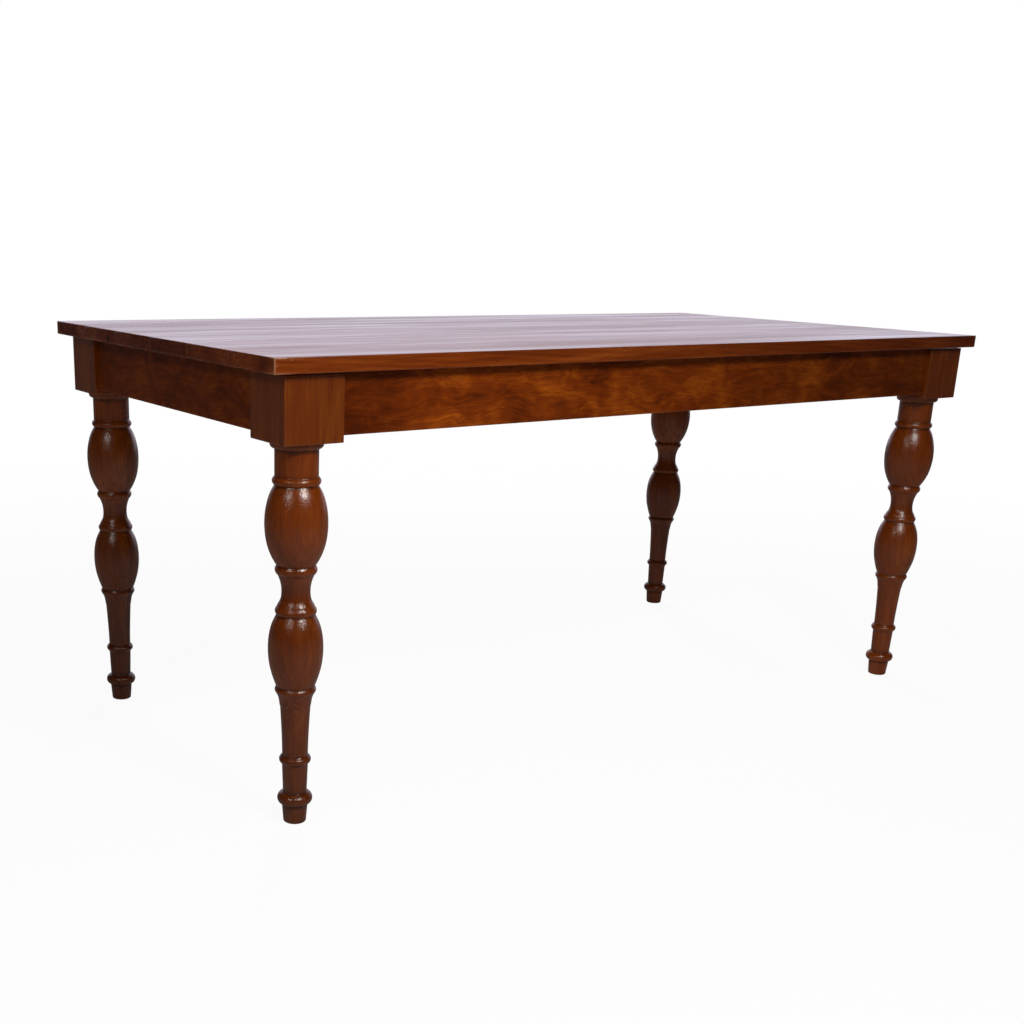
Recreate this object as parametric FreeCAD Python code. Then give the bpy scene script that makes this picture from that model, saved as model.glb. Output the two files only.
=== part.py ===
import FreeCAD, Part
import math
import os

from FreeCAD import Placement, Rotation, Vector

# Farmhouse table: a plank top on an apron frame with four turned legs.
# Millimetres, +Z up. The origin is on the floor under the middle of the top.
# +X runs along the length, and the long front side faces -Y.

os.makedirs("parts", exist_ok=True)

# Overall size of the table
table_length = 1710.0
table_width = 840.0
table_height = 760.0

# Plank top, glued edge to edge on loose tongues
top_thickness = 24.0
plank_count = 6
arris_chamfer = 1.2
tongue_width = 20.0
tongue_thickness = 6.0
tongue_end_stop = 60.0
end_overhang = 25.0
side_overhang = 14.0

# Square block at the head of each leg
block_width = 104.0
block_height = 103.5
block_top_gap = 2.5
block_chamfer = 1.2
block_inner_flat = 22.0

# Radii of the turning below the block, from the top down
flange_radius = 41.6
flange_round_radius = 39.7
neck_radius = 34.4
neck_bead_radius = 38.1
upper_egg_radius = 49.7
collar_radius = 33.4
collar_proud = 2.2
waist_end_radius = 29.4
waist_radius = 23.0
lower_egg_radius = 44.3
cup_radius = 26.9
shin_top_radius = 24.7
shin_foot_radius = 21.3
ankle_ring_radius = 26.1
ankle_top_radius = 21.4
ankle_foot_radius = 19.6
ball_radius = 29.1
foot_top_radius = 21.3
foot_radius = 18.9
foot_chamfer = 1.8

# Flats that a bead, the ball, a hollow and the waist are turned in
bead_flats = 3
ball_flats = 4
hollow_flats = 2
waist_flats = 4

# Heights along the turning, as shares of its length from the floor up
station_shares = {
    "foot_top": 0.0500,
    "ball_crown": 0.0672,
    "ball_top": 0.0838,
    "ankle_top": 0.1590,
    "ankle_ring_foot": 0.1665,
    "ankle_ring_crown": 0.1768,
    "ankle_ring_top": 0.1875,
    "shin_top": 0.3240,
    "cup_middle": 0.3460,
    "low_collar_foot": 0.3620,
    "low_collar_crown": 0.3667,
    "low_collar_top": 0.3760,
    "lower_egg_top": 0.5665,
    "mid_collar_crown": 0.5760,
    "mid_collar_top": 0.5850,
    "waist_middle": 0.6262,
    "waist_top": 0.6720,
    "high_collar_crown": 0.6830,
    "high_collar_top": 0.6925,
    "upper_egg_top": 0.8940,
    "neck_bead_crown": 0.9042,
    "neck_bead_top": 0.9140,
    "neck_top": 0.9822,
    "flange_round": 0.9857,
    "flange_foot": 0.9921,
}
# Points of each egg: share of its height, then share of its swell
lower_egg_shares = [(0.145, 0.49), (0.29, 0.80), (0.53, 1.0), (0.79, 0.78), (0.91, 0.42)]
upper_egg_shares = [(0.10, 0.39), (0.25, 0.78), (0.53, 1.0), (0.75, 0.81), (0.895, 0.45)]

# Aprons, tenoned into the blocks
apron_thickness = 22.0
apron_height = 96.0
apron_setback = 7.0
apron_chamfer = 1.0
tenon_thickness = 10.0
tenon_height = 62.0
tenon_length = 25.0
tenon_lower_shoulder = 12.0
glue_space = 1.0
glue_line = 0.1

# Groove inside the aprons, and the wooden buttons that hold the top down
groove_drop = 11.0
groove_width = 7.0
groove_depth = 10.0
button_width = 32.0
button_body = 26.0
button_thickness = 20.0
button_tongue = 8.0
button_slack = 0.5
long_button_pitch = 560.0
long_button_count = 3
short_button_count = 2

# Two bearers across the frame, let into the long aprons
bearer_width = 60.0
bearer_thickness = 25.0
bearer_housing = 8.0
bearer_spacing = 600.0
bearer_chamfer = 2.0
bearer_slot_length = 14.0
bearer_slot_room = 0.4

# Corner braces, and the bolts that draw the legs in
brace_thickness = 28.0
brace_height = 66.0
brace_leg_gap = 3.0
bolt_radius = 4.0
bolt_room = 0.5
bolt_leg_depth = 45.0
bolt_end_proud = 5.0
washer_radius = 10.0
washer_thickness = 1.6
nut_flat_width = 13.0
nut_height = 6.5

# Wood screws
screw_radius = 2.0
screw_head_radius = 4.2
screw_head_height = 2.4
screw_bite = 14.0
screw_fit = 0.05
brace_screw_pitch = 34.0
brace_screw_count = 2
brace_screw_cover = 1.0

# Places and spans worked out from the sizes above
half_length = table_length / 2
half_width = table_width / 2
top_underside = table_height - top_thickness
plank_width = table_width / plank_count
block_top = top_underside - block_top_gap
turned_length = block_top - block_height
block_outer_x = half_length - end_overhang
block_outer_y = half_width - side_overhang
block_inner_x = block_outer_x - block_width
block_inner_y = block_outer_y - block_width
leg_x = block_outer_x - block_width / 2
leg_y = block_outer_y - block_width / 2
apron_underside = top_underside - apron_height
tenon_low = apron_underside + tenon_lower_shoulder
tenon_high = tenon_low + tenon_height
groove_high = top_underside - groove_drop
brace_middle = (tenon_low + tenon_high) / 2
bearer_underside = top_underside - bearer_thickness
button_underside = top_underside - button_thickness

origin = Vector(0, 0, 0)
along_x = Vector(1, 0, 0)
along_y = Vector(0, 1, 0)
up = Vector(0, 0, 1)
corners = {
    "front_left": (-1, -1),
    "front_right": (1, -1),
    "back_left": (-1, 1),
    "back_right": (1, 1),
}


def box(x_span, y_span, z_span):
    """A box between two places along each axis."""
    low = Vector(x_span[0], y_span[0], z_span[0])
    high = Vector(x_span[1], y_span[1], z_span[1])
    size = high - low
    return Part.makeBox(size.x, size.y, size.z, low)


def about(middle, size):
    """The two ends of a span of this size about its middle."""
    return (middle - size / 2, middle + size / 2)


def row(count, pitch):
    """Places in a row, evenly spaced about zero."""
    return [(index - (count - 1) / 2) * pitch for index in range(count)]


def turned(points):
    """The solid that an outline of radius and height makes about the upright axis."""
    outline = [Vector(radius, 0, height) for radius, height in points]
    section = Part.Face(Part.makePolygon(outline + outline[:1]))
    return section.revolve(origin, up, 360)


def aimed(shape, direction, place):
    """A piece made upright at the origin, turned to a direction and moved to its place."""
    moved = shape.copy()
    moved.Placement = Placement(place, Rotation(up, direction))
    return moved


def in_corner(shape, side_x, side_y):
    """The copy, in one corner, of a piece made for the back right corner."""
    if side_x < 0:
        shape = shape.mirror(origin, along_x)
    if side_y < 0:
        shape = shape.mirror(origin, along_y)
    return shape


def in_all_corners(shapes):
    """Copies of the pieces in each of the four corners."""
    return [in_corner(shape, *sides) for sides in corners.values() for shape in shapes]


def export(shape, name):
    """Write one sub-part to its own file."""
    shape.exportStep("parts/" + name + ".step")


class Turning:
    """The half outline of the turned part of a leg: radius across, height up."""

    def __init__(self, radius, height):
        self.points = [(radius, height)]

    def line_to(self, radius, height):
        """A straight run."""
        self.points.append((radius, height))

    def round_to(self, middle, end, flats):
        """A bead or a hollow on an arc through a middle point, in this many narrow flats."""
        path = [Vector(radius, 0, height) for radius, height in (self.points[-1], middle, end)]
        arc = Part.Arc(*path).toShape()
        places = arc.discretize(flats + 1)
        if places[0].distanceToPoint(path[0]) > places[-1].distanceToPoint(path[0]):
            places.reverse()
        self.points += [(place.x, place.z) for place in places[1:]]

    def egg_to(self, shares, widest, end):
        """An egg-shaped swell, through points given as shares of its height and of its swell."""
        start_radius, start_height = self.points[-1]
        end_radius, end_height = end
        middle_share = max(shares, key=lambda pair: pair[1])[0]
        for height_share, swell_share in shares:
            base = start_radius if height_share < middle_share else end_radius
            radius = base + (widest - base) * swell_share
            self.line_to(radius, start_height + (end_height - start_height) * height_share)
        self.line_to(end_radius, end_height)


def leg_turning():
    """The turned part of a leg, from the floor to the underside of its block."""
    at = {name: share * turned_length for name, share in station_shares.items()}
    quirk = collar_radius - collar_proud
    outline = Turning(0, 0)
    outline.line_to(foot_radius - foot_chamfer, 0)
    outline.line_to(foot_radius, foot_chamfer)
    outline.line_to(foot_top_radius, at["foot_top"])
    ball = (ball_radius, at["ball_crown"])
    outline.round_to(ball, (ankle_foot_radius, at["ball_top"]), ball_flats)
    outline.line_to(ankle_top_radius, at["ankle_top"])
    outline.line_to(ankle_ring_radius - collar_proud, at["ankle_ring_foot"])
    ankle_ring = (ankle_ring_radius, at["ankle_ring_crown"])
    outline.round_to(ankle_ring, (shin_foot_radius, at["ankle_ring_top"]), bead_flats)
    outline.line_to(shin_top_radius, at["shin_top"])
    cup = (cup_radius, at["cup_middle"])
    outline.round_to(cup, (quirk, at["low_collar_foot"]), hollow_flats)
    low_collar = (collar_radius, at["low_collar_crown"])
    outline.round_to(low_collar, (quirk, at["low_collar_top"]), bead_flats)
    outline.egg_to(lower_egg_shares, lower_egg_radius, (quirk, at["lower_egg_top"]))
    mid_collar = (collar_radius, at["mid_collar_crown"])
    outline.round_to(mid_collar, (waist_end_radius, at["mid_collar_top"]), bead_flats)
    waist = (waist_radius, at["waist_middle"])
    outline.round_to(waist, (waist_end_radius, at["waist_top"]), waist_flats)
    high_collar = (collar_radius, at["high_collar_crown"])
    outline.round_to(high_collar, (quirk, at["high_collar_top"]), bead_flats)
    outline.egg_to(upper_egg_shares, upper_egg_radius, (neck_radius, at["upper_egg_top"]))
    neck_bead = (neck_bead_radius, at["neck_bead_crown"])
    outline.round_to(neck_bead, (neck_radius, at["neck_bead_top"]), bead_flats)
    outline.line_to(neck_radius, at["neck_top"])
    flange = (flange_round_radius, at["flange_round"])
    outline.round_to(flange, (flange_radius, at["flange_foot"]), bead_flats)
    outline.line_to(flange_radius, turned_length)
    outline.line_to(0, turned_length)
    return turned(outline.points)


def screw(length, grow=0, sunk=0):
    """A countersunk wood screw, point up and head at the origin, or the hole that it fills."""
    head = screw_head_radius + grow
    shank = screw_radius + grow
    end = length + grow
    points = [(0, -sunk), (head, -sunk)]
    if sunk:
        points.append((head, 0))
    return turned(points + [(shank, screw_head_height), (shank, end), (0, end)])


def pan_screw(length):
    """A pan-headed wood screw, point up, with the underside of its head at the origin."""
    crown = screw_head_radius - screw_radius / 2
    low = -screw_head_height
    points = [(0, low), (crown, low), (screw_head_radius, low / 2), (screw_head_radius, 0)]
    points += [(screw_radius, 0), (screw_radius, length), (0, length)]
    return turned(points)


class Side:
    """One apron and all that is on it, drawn along X on the back side and then set in place."""

    def __init__(self, at_the_end, button_places, housing_places):
        self.at_the_end = at_the_end
        self.half_run = block_inner_y if at_the_end else block_inner_x
        self.outer = (block_outer_x if at_the_end else block_outer_y) - apron_setback
        self.inner = self.outer - apron_thickness
        self.button_places = button_places
        self.housing_places = housing_places

    def set_in_place(self, shape):
        """A long apron's piece stays on the back side, and a short one's turns to the right end."""
        turn = -90 if self.at_the_end else 0
        moved = shape.copy()
        moved.rotate(origin, up, turn)
        return moved

    def pad_middle(self):
        """Where along the apron the middle of a brace's pad lies."""
        return brace_diagonal(brace_leg_gap + brace_thickness / 2) - self.inner

    def tenon(self, end, spare=0, room=0):
        """The tenon at one end, or with spare depth and room round it, its mortise."""
        thick = tenon_thickness + 2 * room
        middle = (self.inner + self.outer) / 2
        shoulder = self.half_run
        tip = self.half_run + tenon_length + spare
        run = (shoulder, tip) if end > 0 else (-tip, -shoulder)
        return box(run, about(middle, thick), (tenon_low - room, tenon_high + room))

    def brace_screws(self, end, grow=0, sunk=0):
        """The screws that hold one end of a brace, or their holes with the sunk part above."""
        seat = self.inner - brace_screw_depth
        shapes = []
        for level in row(brace_screw_count, brace_screw_pitch):
            place = Vector(end * self.pad_middle(), seat, brace_middle + level)
            shapes.append(aimed(screw(brace_screw_depth + screw_bite, grow, sunk), along_y, place))
        return shapes

    def button(self, place):
        """A wooden button: a block under the top with a tongue in the apron's groove."""
        width = about(place, button_width)
        body = box(width, (self.inner - button_body, self.inner), (button_underside, top_underside))
        tongue_low = groove_high - groove_width + button_slack
        tongue = box(width, (self.inner, self.inner + button_tongue), (tongue_low, groove_high))
        return body.fuse(tongue).removeSplitter().cut(self.button_screw(place, screw_fit))

    def button_screw(self, place, grow=0):
        """The screw up through a button into the top."""
        middle = Vector(place, self.inner - button_body / 2, button_underside)
        return aimed(screw(button_thickness + screw_bite, grow), up, middle)

    def apron(self):
        """The apron with its tenons, its groove, its housings and its screw holes."""
        run = (-self.half_run, self.half_run)
        rail = box(run, (self.inner, self.outer), (apron_underside, top_underside))
        lower = [edge for edge in rail.Edges if is_lower_arris(edge)]
        rail = rail.makeChamfer(apron_chamfer, lower)
        rail = rail.fuse([self.tenon(1), self.tenon(-1)]).removeSplitter()
        groove_levels = (groove_high - groove_width, groove_high)
        cuts = [box(run, (self.inner, self.inner + groove_depth), groove_levels)]
        for place in self.housing_places:
            depth = (self.inner, self.inner + bearer_housing)
            cuts.append(box(about(place, bearer_width), depth, (bearer_underside, top_underside)))
        for end in (-1, 1):
            cuts += self.brace_screws(end, screw_fit)
        return self.set_in_place(rail.cut(cuts))


def is_lower_arris(edge):
    """True for the two long edges along the underside of an apron drawn along X."""
    span = edge.BoundBox
    return span.XLength > span.YLength + span.ZLength and span.ZMax < apron_underside + apron_chamfer


def brace_diagonal(distance):
    """X plus Y on a plane across the corner, this far in from the flat of the leg's block."""
    flat = block_inner_x + block_inner_y + block_inner_flat
    return flat - distance * math.sqrt(2)


# The heads of the screws lie sunk in the sloping face of the brace
brace_screw_depth = brace_thickness / math.sqrt(2) - screw_head_radius - brace_screw_cover

bearer_places = row(2, bearer_spacing)
long_side = Side(False, row(long_button_count, long_button_pitch), bearer_places)
short_side = Side(True, row(short_button_count, plank_width), [])
inwards = Vector(-1, -1, 0).normalize()
flat_middle = Vector(
    block_inner_x + block_inner_flat / 2, block_inner_y + block_inner_flat / 2, brace_middle
)


def corner_rod(radius, start, end):
    """A round bar along the bolt's line, between two distances in from the block's flat."""
    return Part.makeCylinder(radius, end - start, flat_middle + inwards * start, inwards)


def leg():
    """A leg for the back right corner: turning, block, two mortises and the bolt's hole."""
    block = box(about(leg_x, block_width), about(leg_y, block_width), (turned_length, block_top))
    block = block.makeChamfer(block_chamfer, block.Edges)
    turning = leg_turning()
    turning.translate(Vector(leg_x, leg_y, 0))
    corner = Vector(block_inner_x, block_inner_y, turned_length)
    ends = [corner, corner + along_x * block_inner_flat, corner + along_y * block_inner_flat]
    flat = Part.Face(Part.makePolygon(ends + ends[:1])).extrude(up * block_height)
    mortises = [
        long_side.set_in_place(long_side.tenon(1, glue_space, glue_line)),
        short_side.set_in_place(short_side.tenon(-1, glue_space, glue_line)),
    ]
    bolt_hole = corner_rod(bolt_radius + screw_fit, -bolt_leg_depth - screw_fit, brace_leg_gap)
    return block.fuse(turning).cut([flat, bolt_hole] + mortises)


def brace():
    """A corner brace for the back right corner, mitred to both aprons."""
    near = brace_diagonal(brace_leg_gap)
    far = brace_diagonal(brace_leg_gap + brace_thickness)
    on_short, on_long = short_side.inner, long_side.inner
    low = brace_middle - brace_height / 2
    outline = [
        Vector(on_short, near - on_short, low),
        Vector(near - on_long, on_long, low),
        Vector(far - on_long, on_long, low),
        Vector(on_short, far - on_short, low),
    ]
    block = Part.Face(Part.makePolygon(outline + outline[:1])).extrude(up * brace_height)
    cuts = [corner_rod(bolt_radius + bolt_room, 0, brace_leg_gap + 2 * brace_thickness)]
    for side, end in ((long_side, 1), (short_side, -1)):
        holes = side.brace_screws(end, screw_fit, brace_thickness)
        cuts += [side.set_in_place(hole) for hole in holes]
    return block.cut(cuts)


def bolt_set():
    """The bolt of the back right corner, with its washer and its nut."""
    washer_seat = brace_leg_gap + brace_thickness
    nut_seat = washer_seat + washer_thickness
    bolt_end = nut_seat + nut_height + bolt_end_proud
    bolt = corner_rod(bolt_radius, -bolt_leg_depth, bolt_end)
    hole = corner_rod(bolt_radius + screw_fit, 0, bolt_end)
    washer = corner_rod(washer_radius, washer_seat, nut_seat).cut(hole)
    circle_radius = nut_flat_width / math.sqrt(3)
    rim = [Rotation(up, 60 * index).multVec(along_x * circle_radius) for index in range(6)]
    blank = Part.Face(Part.makePolygon(rim + rim[:1])).extrude(up * nut_height)
    nut = aimed(blank, inwards, flat_middle + inwards * nut_seat).cut(hole)
    return bolt, washer, nut


def bearer_screws(place):
    """The places of the screws of one bearer, one in the middle of each plank."""
    middles = row(plank_count, plank_width)
    return [Vector(place, across, bearer_underside) for across in middles]


def bearer(place):
    """A bearer across the frame, slotted so that the top can shrink and swell."""
    reach = long_side.inner + bearer_housing
    bar = box(about(place, bearer_width), (-reach, reach), (bearer_underside, top_underside))
    long_edges = [edge for edge in bar.Edges if edge.BoundBox.YLength > reach]
    lower = [edge for edge in long_edges if edge.BoundBox.ZMax < top_underside - bearer_thickness / 2]
    bar = bar.makeChamfer(bearer_chamfer, lower)
    slot_radius = screw_radius + bearer_slot_room
    half_slot = bearer_slot_length / 2 - slot_radius
    for point in bearer_screws(place):
        middle = box(
            about(point.x, 2 * slot_radius),
            about(point.y, 2 * half_slot),
            (bearer_underside, top_underside),
        )
        ends = [
            Part.makeCylinder(slot_radius, bearer_thickness, point + along_y * (half_slot * end))
            for end in (-1, 1)
        ]
        bar = bar.cut([middle] + ends)
    return bar


def tongue_box(seam, spare=0):
    """A loose tongue in one seam of the top, or with spare room, its grooves."""
    half_run = half_length - tongue_end_stop + spare
    middle = top_underside + top_thickness / 2
    return box((-half_run, half_run), about(seam, tongue_width + 2 * spare), about(middle, tongue_thickness))


seams = [index * plank_width - half_width for index in range(1, plank_count)]
long_pieces = [(long_side, place, side) for place in long_side.button_places for side in (-1, 1)]
short_pieces = [(short_side, place, side) for place in short_side.button_places for side in (-1, 1)]


def on_both_sides(make):
    """What a function makes for every button of the long sides and of the short sides."""
    shapes = []
    for side, place, way in long_pieces + short_pieces:
        shape = side.set_in_place(make(side, place))
        if way < 0:
            shape = shape.mirror(origin, along_x if side.at_the_end else along_y)
        shapes.append(shape)
    return shapes


def top_holes():
    """All the screw holes in the underside of the top."""
    holes = on_both_sides(lambda side, place: side.button_screw(place, screw_fit))
    for place in bearer_places:
        for point in bearer_screws(place):
            depth = bearer_thickness + screw_bite + screw_fit
            holes.append(Part.makeCylinder(screw_radius + screw_fit, depth, point))
    return holes


def planks():
    """The planks of the top, front to back, with eased outer edges."""
    slab = box((-half_length, half_length), (-half_width, half_width), (top_underside, table_height))
    slab = slab.makeChamfer(arris_chamfer, slab.Edges)
    holes = top_holes() + [tongue_box(seam, glue_line) for seam in seams]
    pieces = []
    for index in range(plank_count):
        start = index * plank_width - half_width
        strip = box((-half_length, half_length), (start, start + plank_width), (top_underside, table_height))
        near = [hole for hole in holes if hole.BoundBox.intersect(strip.BoundBox)]
        pieces.append(slab.common(strip).cut(near))
    return pieces


def build():
    """Make every piece and write it."""
    for index, plank in enumerate(planks()):
        export(plank, "top_plank_" + str(index + 1))
    export(Part.makeCompound([tongue_box(seam) for seam in seams]), "loose_tongues")

    back_apron, right_apron = long_side.apron(), short_side.apron()
    export(back_apron, "apron_back")
    export(back_apron.mirror(origin, along_y), "apron_front")
    export(right_apron, "apron_right")
    export(right_apron.mirror(origin, along_x), "apron_left")

    corner_leg, corner_brace = leg(), brace()
    for name, sides in corners.items():
        export(in_corner(corner_leg, *sides), "leg_" + name)
        export(in_corner(corner_brace, *sides), "corner_brace_" + name)

    bolt, washer, nut = bolt_set()
    export(Part.makeCompound(in_all_corners([bolt])), "hanger_bolts")
    export(Part.makeCompound(in_all_corners([washer])), "bolt_washers")
    export(Part.makeCompound(in_all_corners([nut])), "bolt_nuts")
    screws = [long_side.set_in_place(piece) for piece in long_side.brace_screws(1)]
    screws += [short_side.set_in_place(piece) for piece in short_side.brace_screws(-1)]
    export(Part.makeCompound(in_all_corners(screws)), "brace_screws")

    for place, name in zip(bearer_places, ("left", "right")):
        export(bearer(place), "top_bearer_" + name)
    points = [point for place in bearer_places for point in bearer_screws(place)]
    up_screw = pan_screw(bearer_thickness + screw_bite)
    export(Part.makeCompound([aimed(up_screw, up, point) for point in points]), "bearer_screws")

    buttons = on_both_sides(lambda side, place: side.button(place))
    export(Part.makeCompound(buttons), "top_buttons")
    button_screws = on_both_sides(lambda side, place: side.button_screw(place))
    export(Part.makeCompound(button_screws), "button_screws")


build()
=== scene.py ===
import logging
import math
import random
from dataclasses import dataclass, field, replace
from enum import Enum

import bmesh
import bpy
from mathutils import Matrix, Vector


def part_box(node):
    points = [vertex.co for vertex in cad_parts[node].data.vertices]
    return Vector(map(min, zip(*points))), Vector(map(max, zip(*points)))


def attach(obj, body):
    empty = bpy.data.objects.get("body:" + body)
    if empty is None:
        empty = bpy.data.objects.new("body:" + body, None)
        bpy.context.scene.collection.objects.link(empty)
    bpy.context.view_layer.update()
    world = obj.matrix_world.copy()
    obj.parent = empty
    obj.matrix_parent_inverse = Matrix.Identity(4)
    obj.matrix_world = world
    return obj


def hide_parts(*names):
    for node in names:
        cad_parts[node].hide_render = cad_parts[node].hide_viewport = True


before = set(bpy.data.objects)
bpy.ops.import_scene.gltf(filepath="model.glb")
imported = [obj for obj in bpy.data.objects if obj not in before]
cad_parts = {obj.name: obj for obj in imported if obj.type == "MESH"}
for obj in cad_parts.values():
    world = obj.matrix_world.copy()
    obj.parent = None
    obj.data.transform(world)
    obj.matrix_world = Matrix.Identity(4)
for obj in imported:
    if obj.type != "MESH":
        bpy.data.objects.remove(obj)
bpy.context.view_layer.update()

# The dressed farmhouse table: red-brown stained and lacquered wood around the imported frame.
# Metres, +Z up. The long front side faces -Y.

LOG = logging.getLogger("farmhouse_table")
MM = 0.001

# A length under this is none
NOTHING = 1e-6

# How far along its tree a board may have been cut, in metres
CUT_RANGE = (3, 40)

# At scale 1 a noise has spots about half a unit wide, and a wave repeats every 0.314 units
NOISE_SPOT = 0.5
WAVE_STEP = 0.314

Flat = tuple[float, float]
Material = bpy.types.Material
Mesh = bpy.types.Mesh
Node = bpy.types.Node
Place = tuple[float, float, float]
Socket = bpy.types.NodeSocket
Tree = bpy.types.NodeTree

# Blender's names for the nodes, settings and sockets that the trees use most
BOOLEAN = "GeometryNodeMeshBoolean"
CONE = "GeometryNodeMeshCone"
CYLINDER = "GeometryNodeMeshCylinder"
JOIN = "GeometryNodeJoinGeometry"
MATH = "ShaderNodeMath"
MIX = "ShaderNodeMix"
NOISE = "ShaderNodeTexNoise"
RANGE = "ShaderNodeMapRange"
SHIFT = "GeometryNodeTransform"
SPLIT = "ShaderNodeSeparateXYZ"
VECTORS = "ShaderNodeVectorMath"
COVER = {"data_type": "RGBA"}
TINT = {"data_type": "RGBA", "blend_type": "MULTIPLY"}
SMOOTH = {"interpolation_type": "SMOOTHSTEP"}
CUT = {"operation": "DIFFERENCE", "solver": "EXACT"}
SOCKETS = {float: "NodeSocketFloat", int: "NodeSocketInt", tuple: "NodeSocketVector"}


# Colour and node helpers

def srgb(code: str) -> tuple[float, float, float, float]:
    """Turn an sRGB hex colour into the linear colour that the renderer works in.

    Args:
        code: Six hex digits with a leading hash.

    Returns:
        Linear red, green, blue and an opaque alpha.
    """
    parts = [int(code[place:place + 2], 16) / 255 for place in (1, 3, 5)]
    linear = [part / 12.92 if part <= 0.04045 else ((part + 0.055) / 1.055) ** 2.4 for part in parts]
    return (linear[0], linear[1], linear[2], 1.0)


def add(tree: Tree, kind: str, inputs: dict | None = None, **settings: object) -> Node:
    """Add one node with its settings, and link or set its inputs.

    Args:
        tree: The node tree that gets the node.
        kind: Blender's name for the kind of node.
        inputs: By input name or number: a value, a socket, a node, which stands for its first
            output in use, or a list of nodes for an input that takes several.
        settings: Properties of the node by name.

    Returns:
        The new node.
    """
    node = tree.nodes.new(kind)
    for name, value in settings.items():
        setattr(node, name, value)
    for name, value in (inputs or {}).items():
        for source in value if isinstance(value, list) else [value]:
            if isinstance(source, Node):
                source = next(output for output in source.outputs if output.enabled)
            if isinstance(source, Socket):
                tree.links.new(source, node.inputs[name])
            else:
                node.inputs[name].default_value = source
    return node


def ramp_stops(node: Node, stops: list[tuple[float, str]]) -> None:
    """Give a colour ramp its stops.

    Args:
        node: The colour ramp node.
        stops: Position and hex colour of each stop, in order.
    """
    elements = node.color_ramp.elements
    while len(elements) > 1:
        elements.remove(elements[-1])
    elements[0].position = stops[0][0]
    elements[0].color = srgb(stops[0][1])
    for position, code in stops[1:]:
        elements.new(position).color = srgb(code)


def blank_material(name: str) -> tuple[Material, Tree]:
    """Make a material with an empty tree.

    Args:
        name: Name of the material.

    Returns:
        The material and its tree.
    """
    material = bpy.data.materials.new(name)
    material.use_nodes = True
    material.node_tree.nodes.clear()
    return material, material.node_tree


# Mesh helpers

def stored(form: bmesh.types.BMesh, name: str) -> Mesh:
    """Turn a working mesh into a stored one, and free it.

    Args:
        form: The working mesh.
        name: Name of the stored mesh.

    Returns:
        The stored mesh.
    """
    mesh = bpy.data.meshes.new(name)
    form.to_mesh(mesh)
    form.free()
    return mesh


def smooth(mesh: Mesh, sharp: float) -> None:
    """Shade a mesh smooth, but for the edges that turn by more than this many degrees."""
    mesh.polygons.foreach_set("use_smooth", [True] * len(mesh.polygons))
    mesh.set_sharp_from_angle(angle=math.radians(sharp))


def finish_piece(name: str, mesh: Mesh, material: Material, node: str) -> None:
    """Put a mesh into the scene as a piece that stands for a CAD node.

    Args:
        name: Name of the piece.
        mesh: Its mesh, with its place in the vertices.
        material: Its finish.
        node: The CAD node that it replaces.
    """
    mesh.materials.clear()
    mesh.materials.append(material)
    piece = bpy.data.objects.new(name, mesh)
    bpy.context.scene.collection.objects.link(piece)
    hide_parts(node)
    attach(piece, "root")
    LOG.info("%s: %d faces", name, len(mesh.polygons))


@dataclass(frozen=True)
class Board:
    """How a piece was cut from its tree: where the grain runs and how far off the heart lay."""

    centre: Vector
    along: Vector
    face: Vector
    heart: Flat
    shift: float
    tone: float = 0.5
    # Painted shade: how much the tone changes per metre along the board, darker where less light falls
    painted_shade_slope: float = 0.0

    def grain_place(self, point: Vector) -> Vector:
        """Express a point in the board's own frame.

        Args:
            point: A point of the piece.

        Returns:
            Distance along the grain, across the board and up from the heart, in metres.
        """
        local = point - self.centre
        across = self.face.cross(self.along)
        place = Vector((local.dot(self.along), local.dot(across), local.dot(self.face)))
        return place + Vector((self.shift, *self.heart))

    def tone_and_shade_at(self, point: Vector) -> float:
        """How light the stain is at a point of the piece, with the painted shade that changes along the
        board: 0.5 is the middle of the range.
        """
        return self.tone + self.painted_shade_slope * (point - self.centre).dot(self.along)


def mark_surface(mesh: Mesh, board: Board, arris: list[float], hollow: list[float],
                 sprayed: float = 1.0) -> None:
    """Store what the wood finish reads: the grain's frame, the worn arrises and the recesses.

    Args:
        mesh: The mesh to mark.
        board: The board that it was cut from.
        arris: How near each vertex is to a sharp edge, from 0 to 1.
        hollow: How deep in a recess each vertex lies, from 0 to 1.
        sprayed: How much orange peel the lacquer has: less where it was rubbed flat.
    """
    places = [part for vertex in mesh.vertices for part in board.grain_place(vertex.co)]
    mesh.attributes.new("grain", "FLOAT_VECTOR", "POINT").data.foreach_set("vector", places)
    # The tone includes the painted shade that changes along the board
    tones = [board.tone_and_shade_at(vertex.co) for vertex in mesh.vertices]
    marks = {"arris": arris, "hollow": hollow, "tone": tones, "sprayed": [sprayed] * len(tones)}
    for name, values in marks.items():
        mesh.attributes.new(name, "FLOAT", "POINT").data.foreach_set("value", values)


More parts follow.
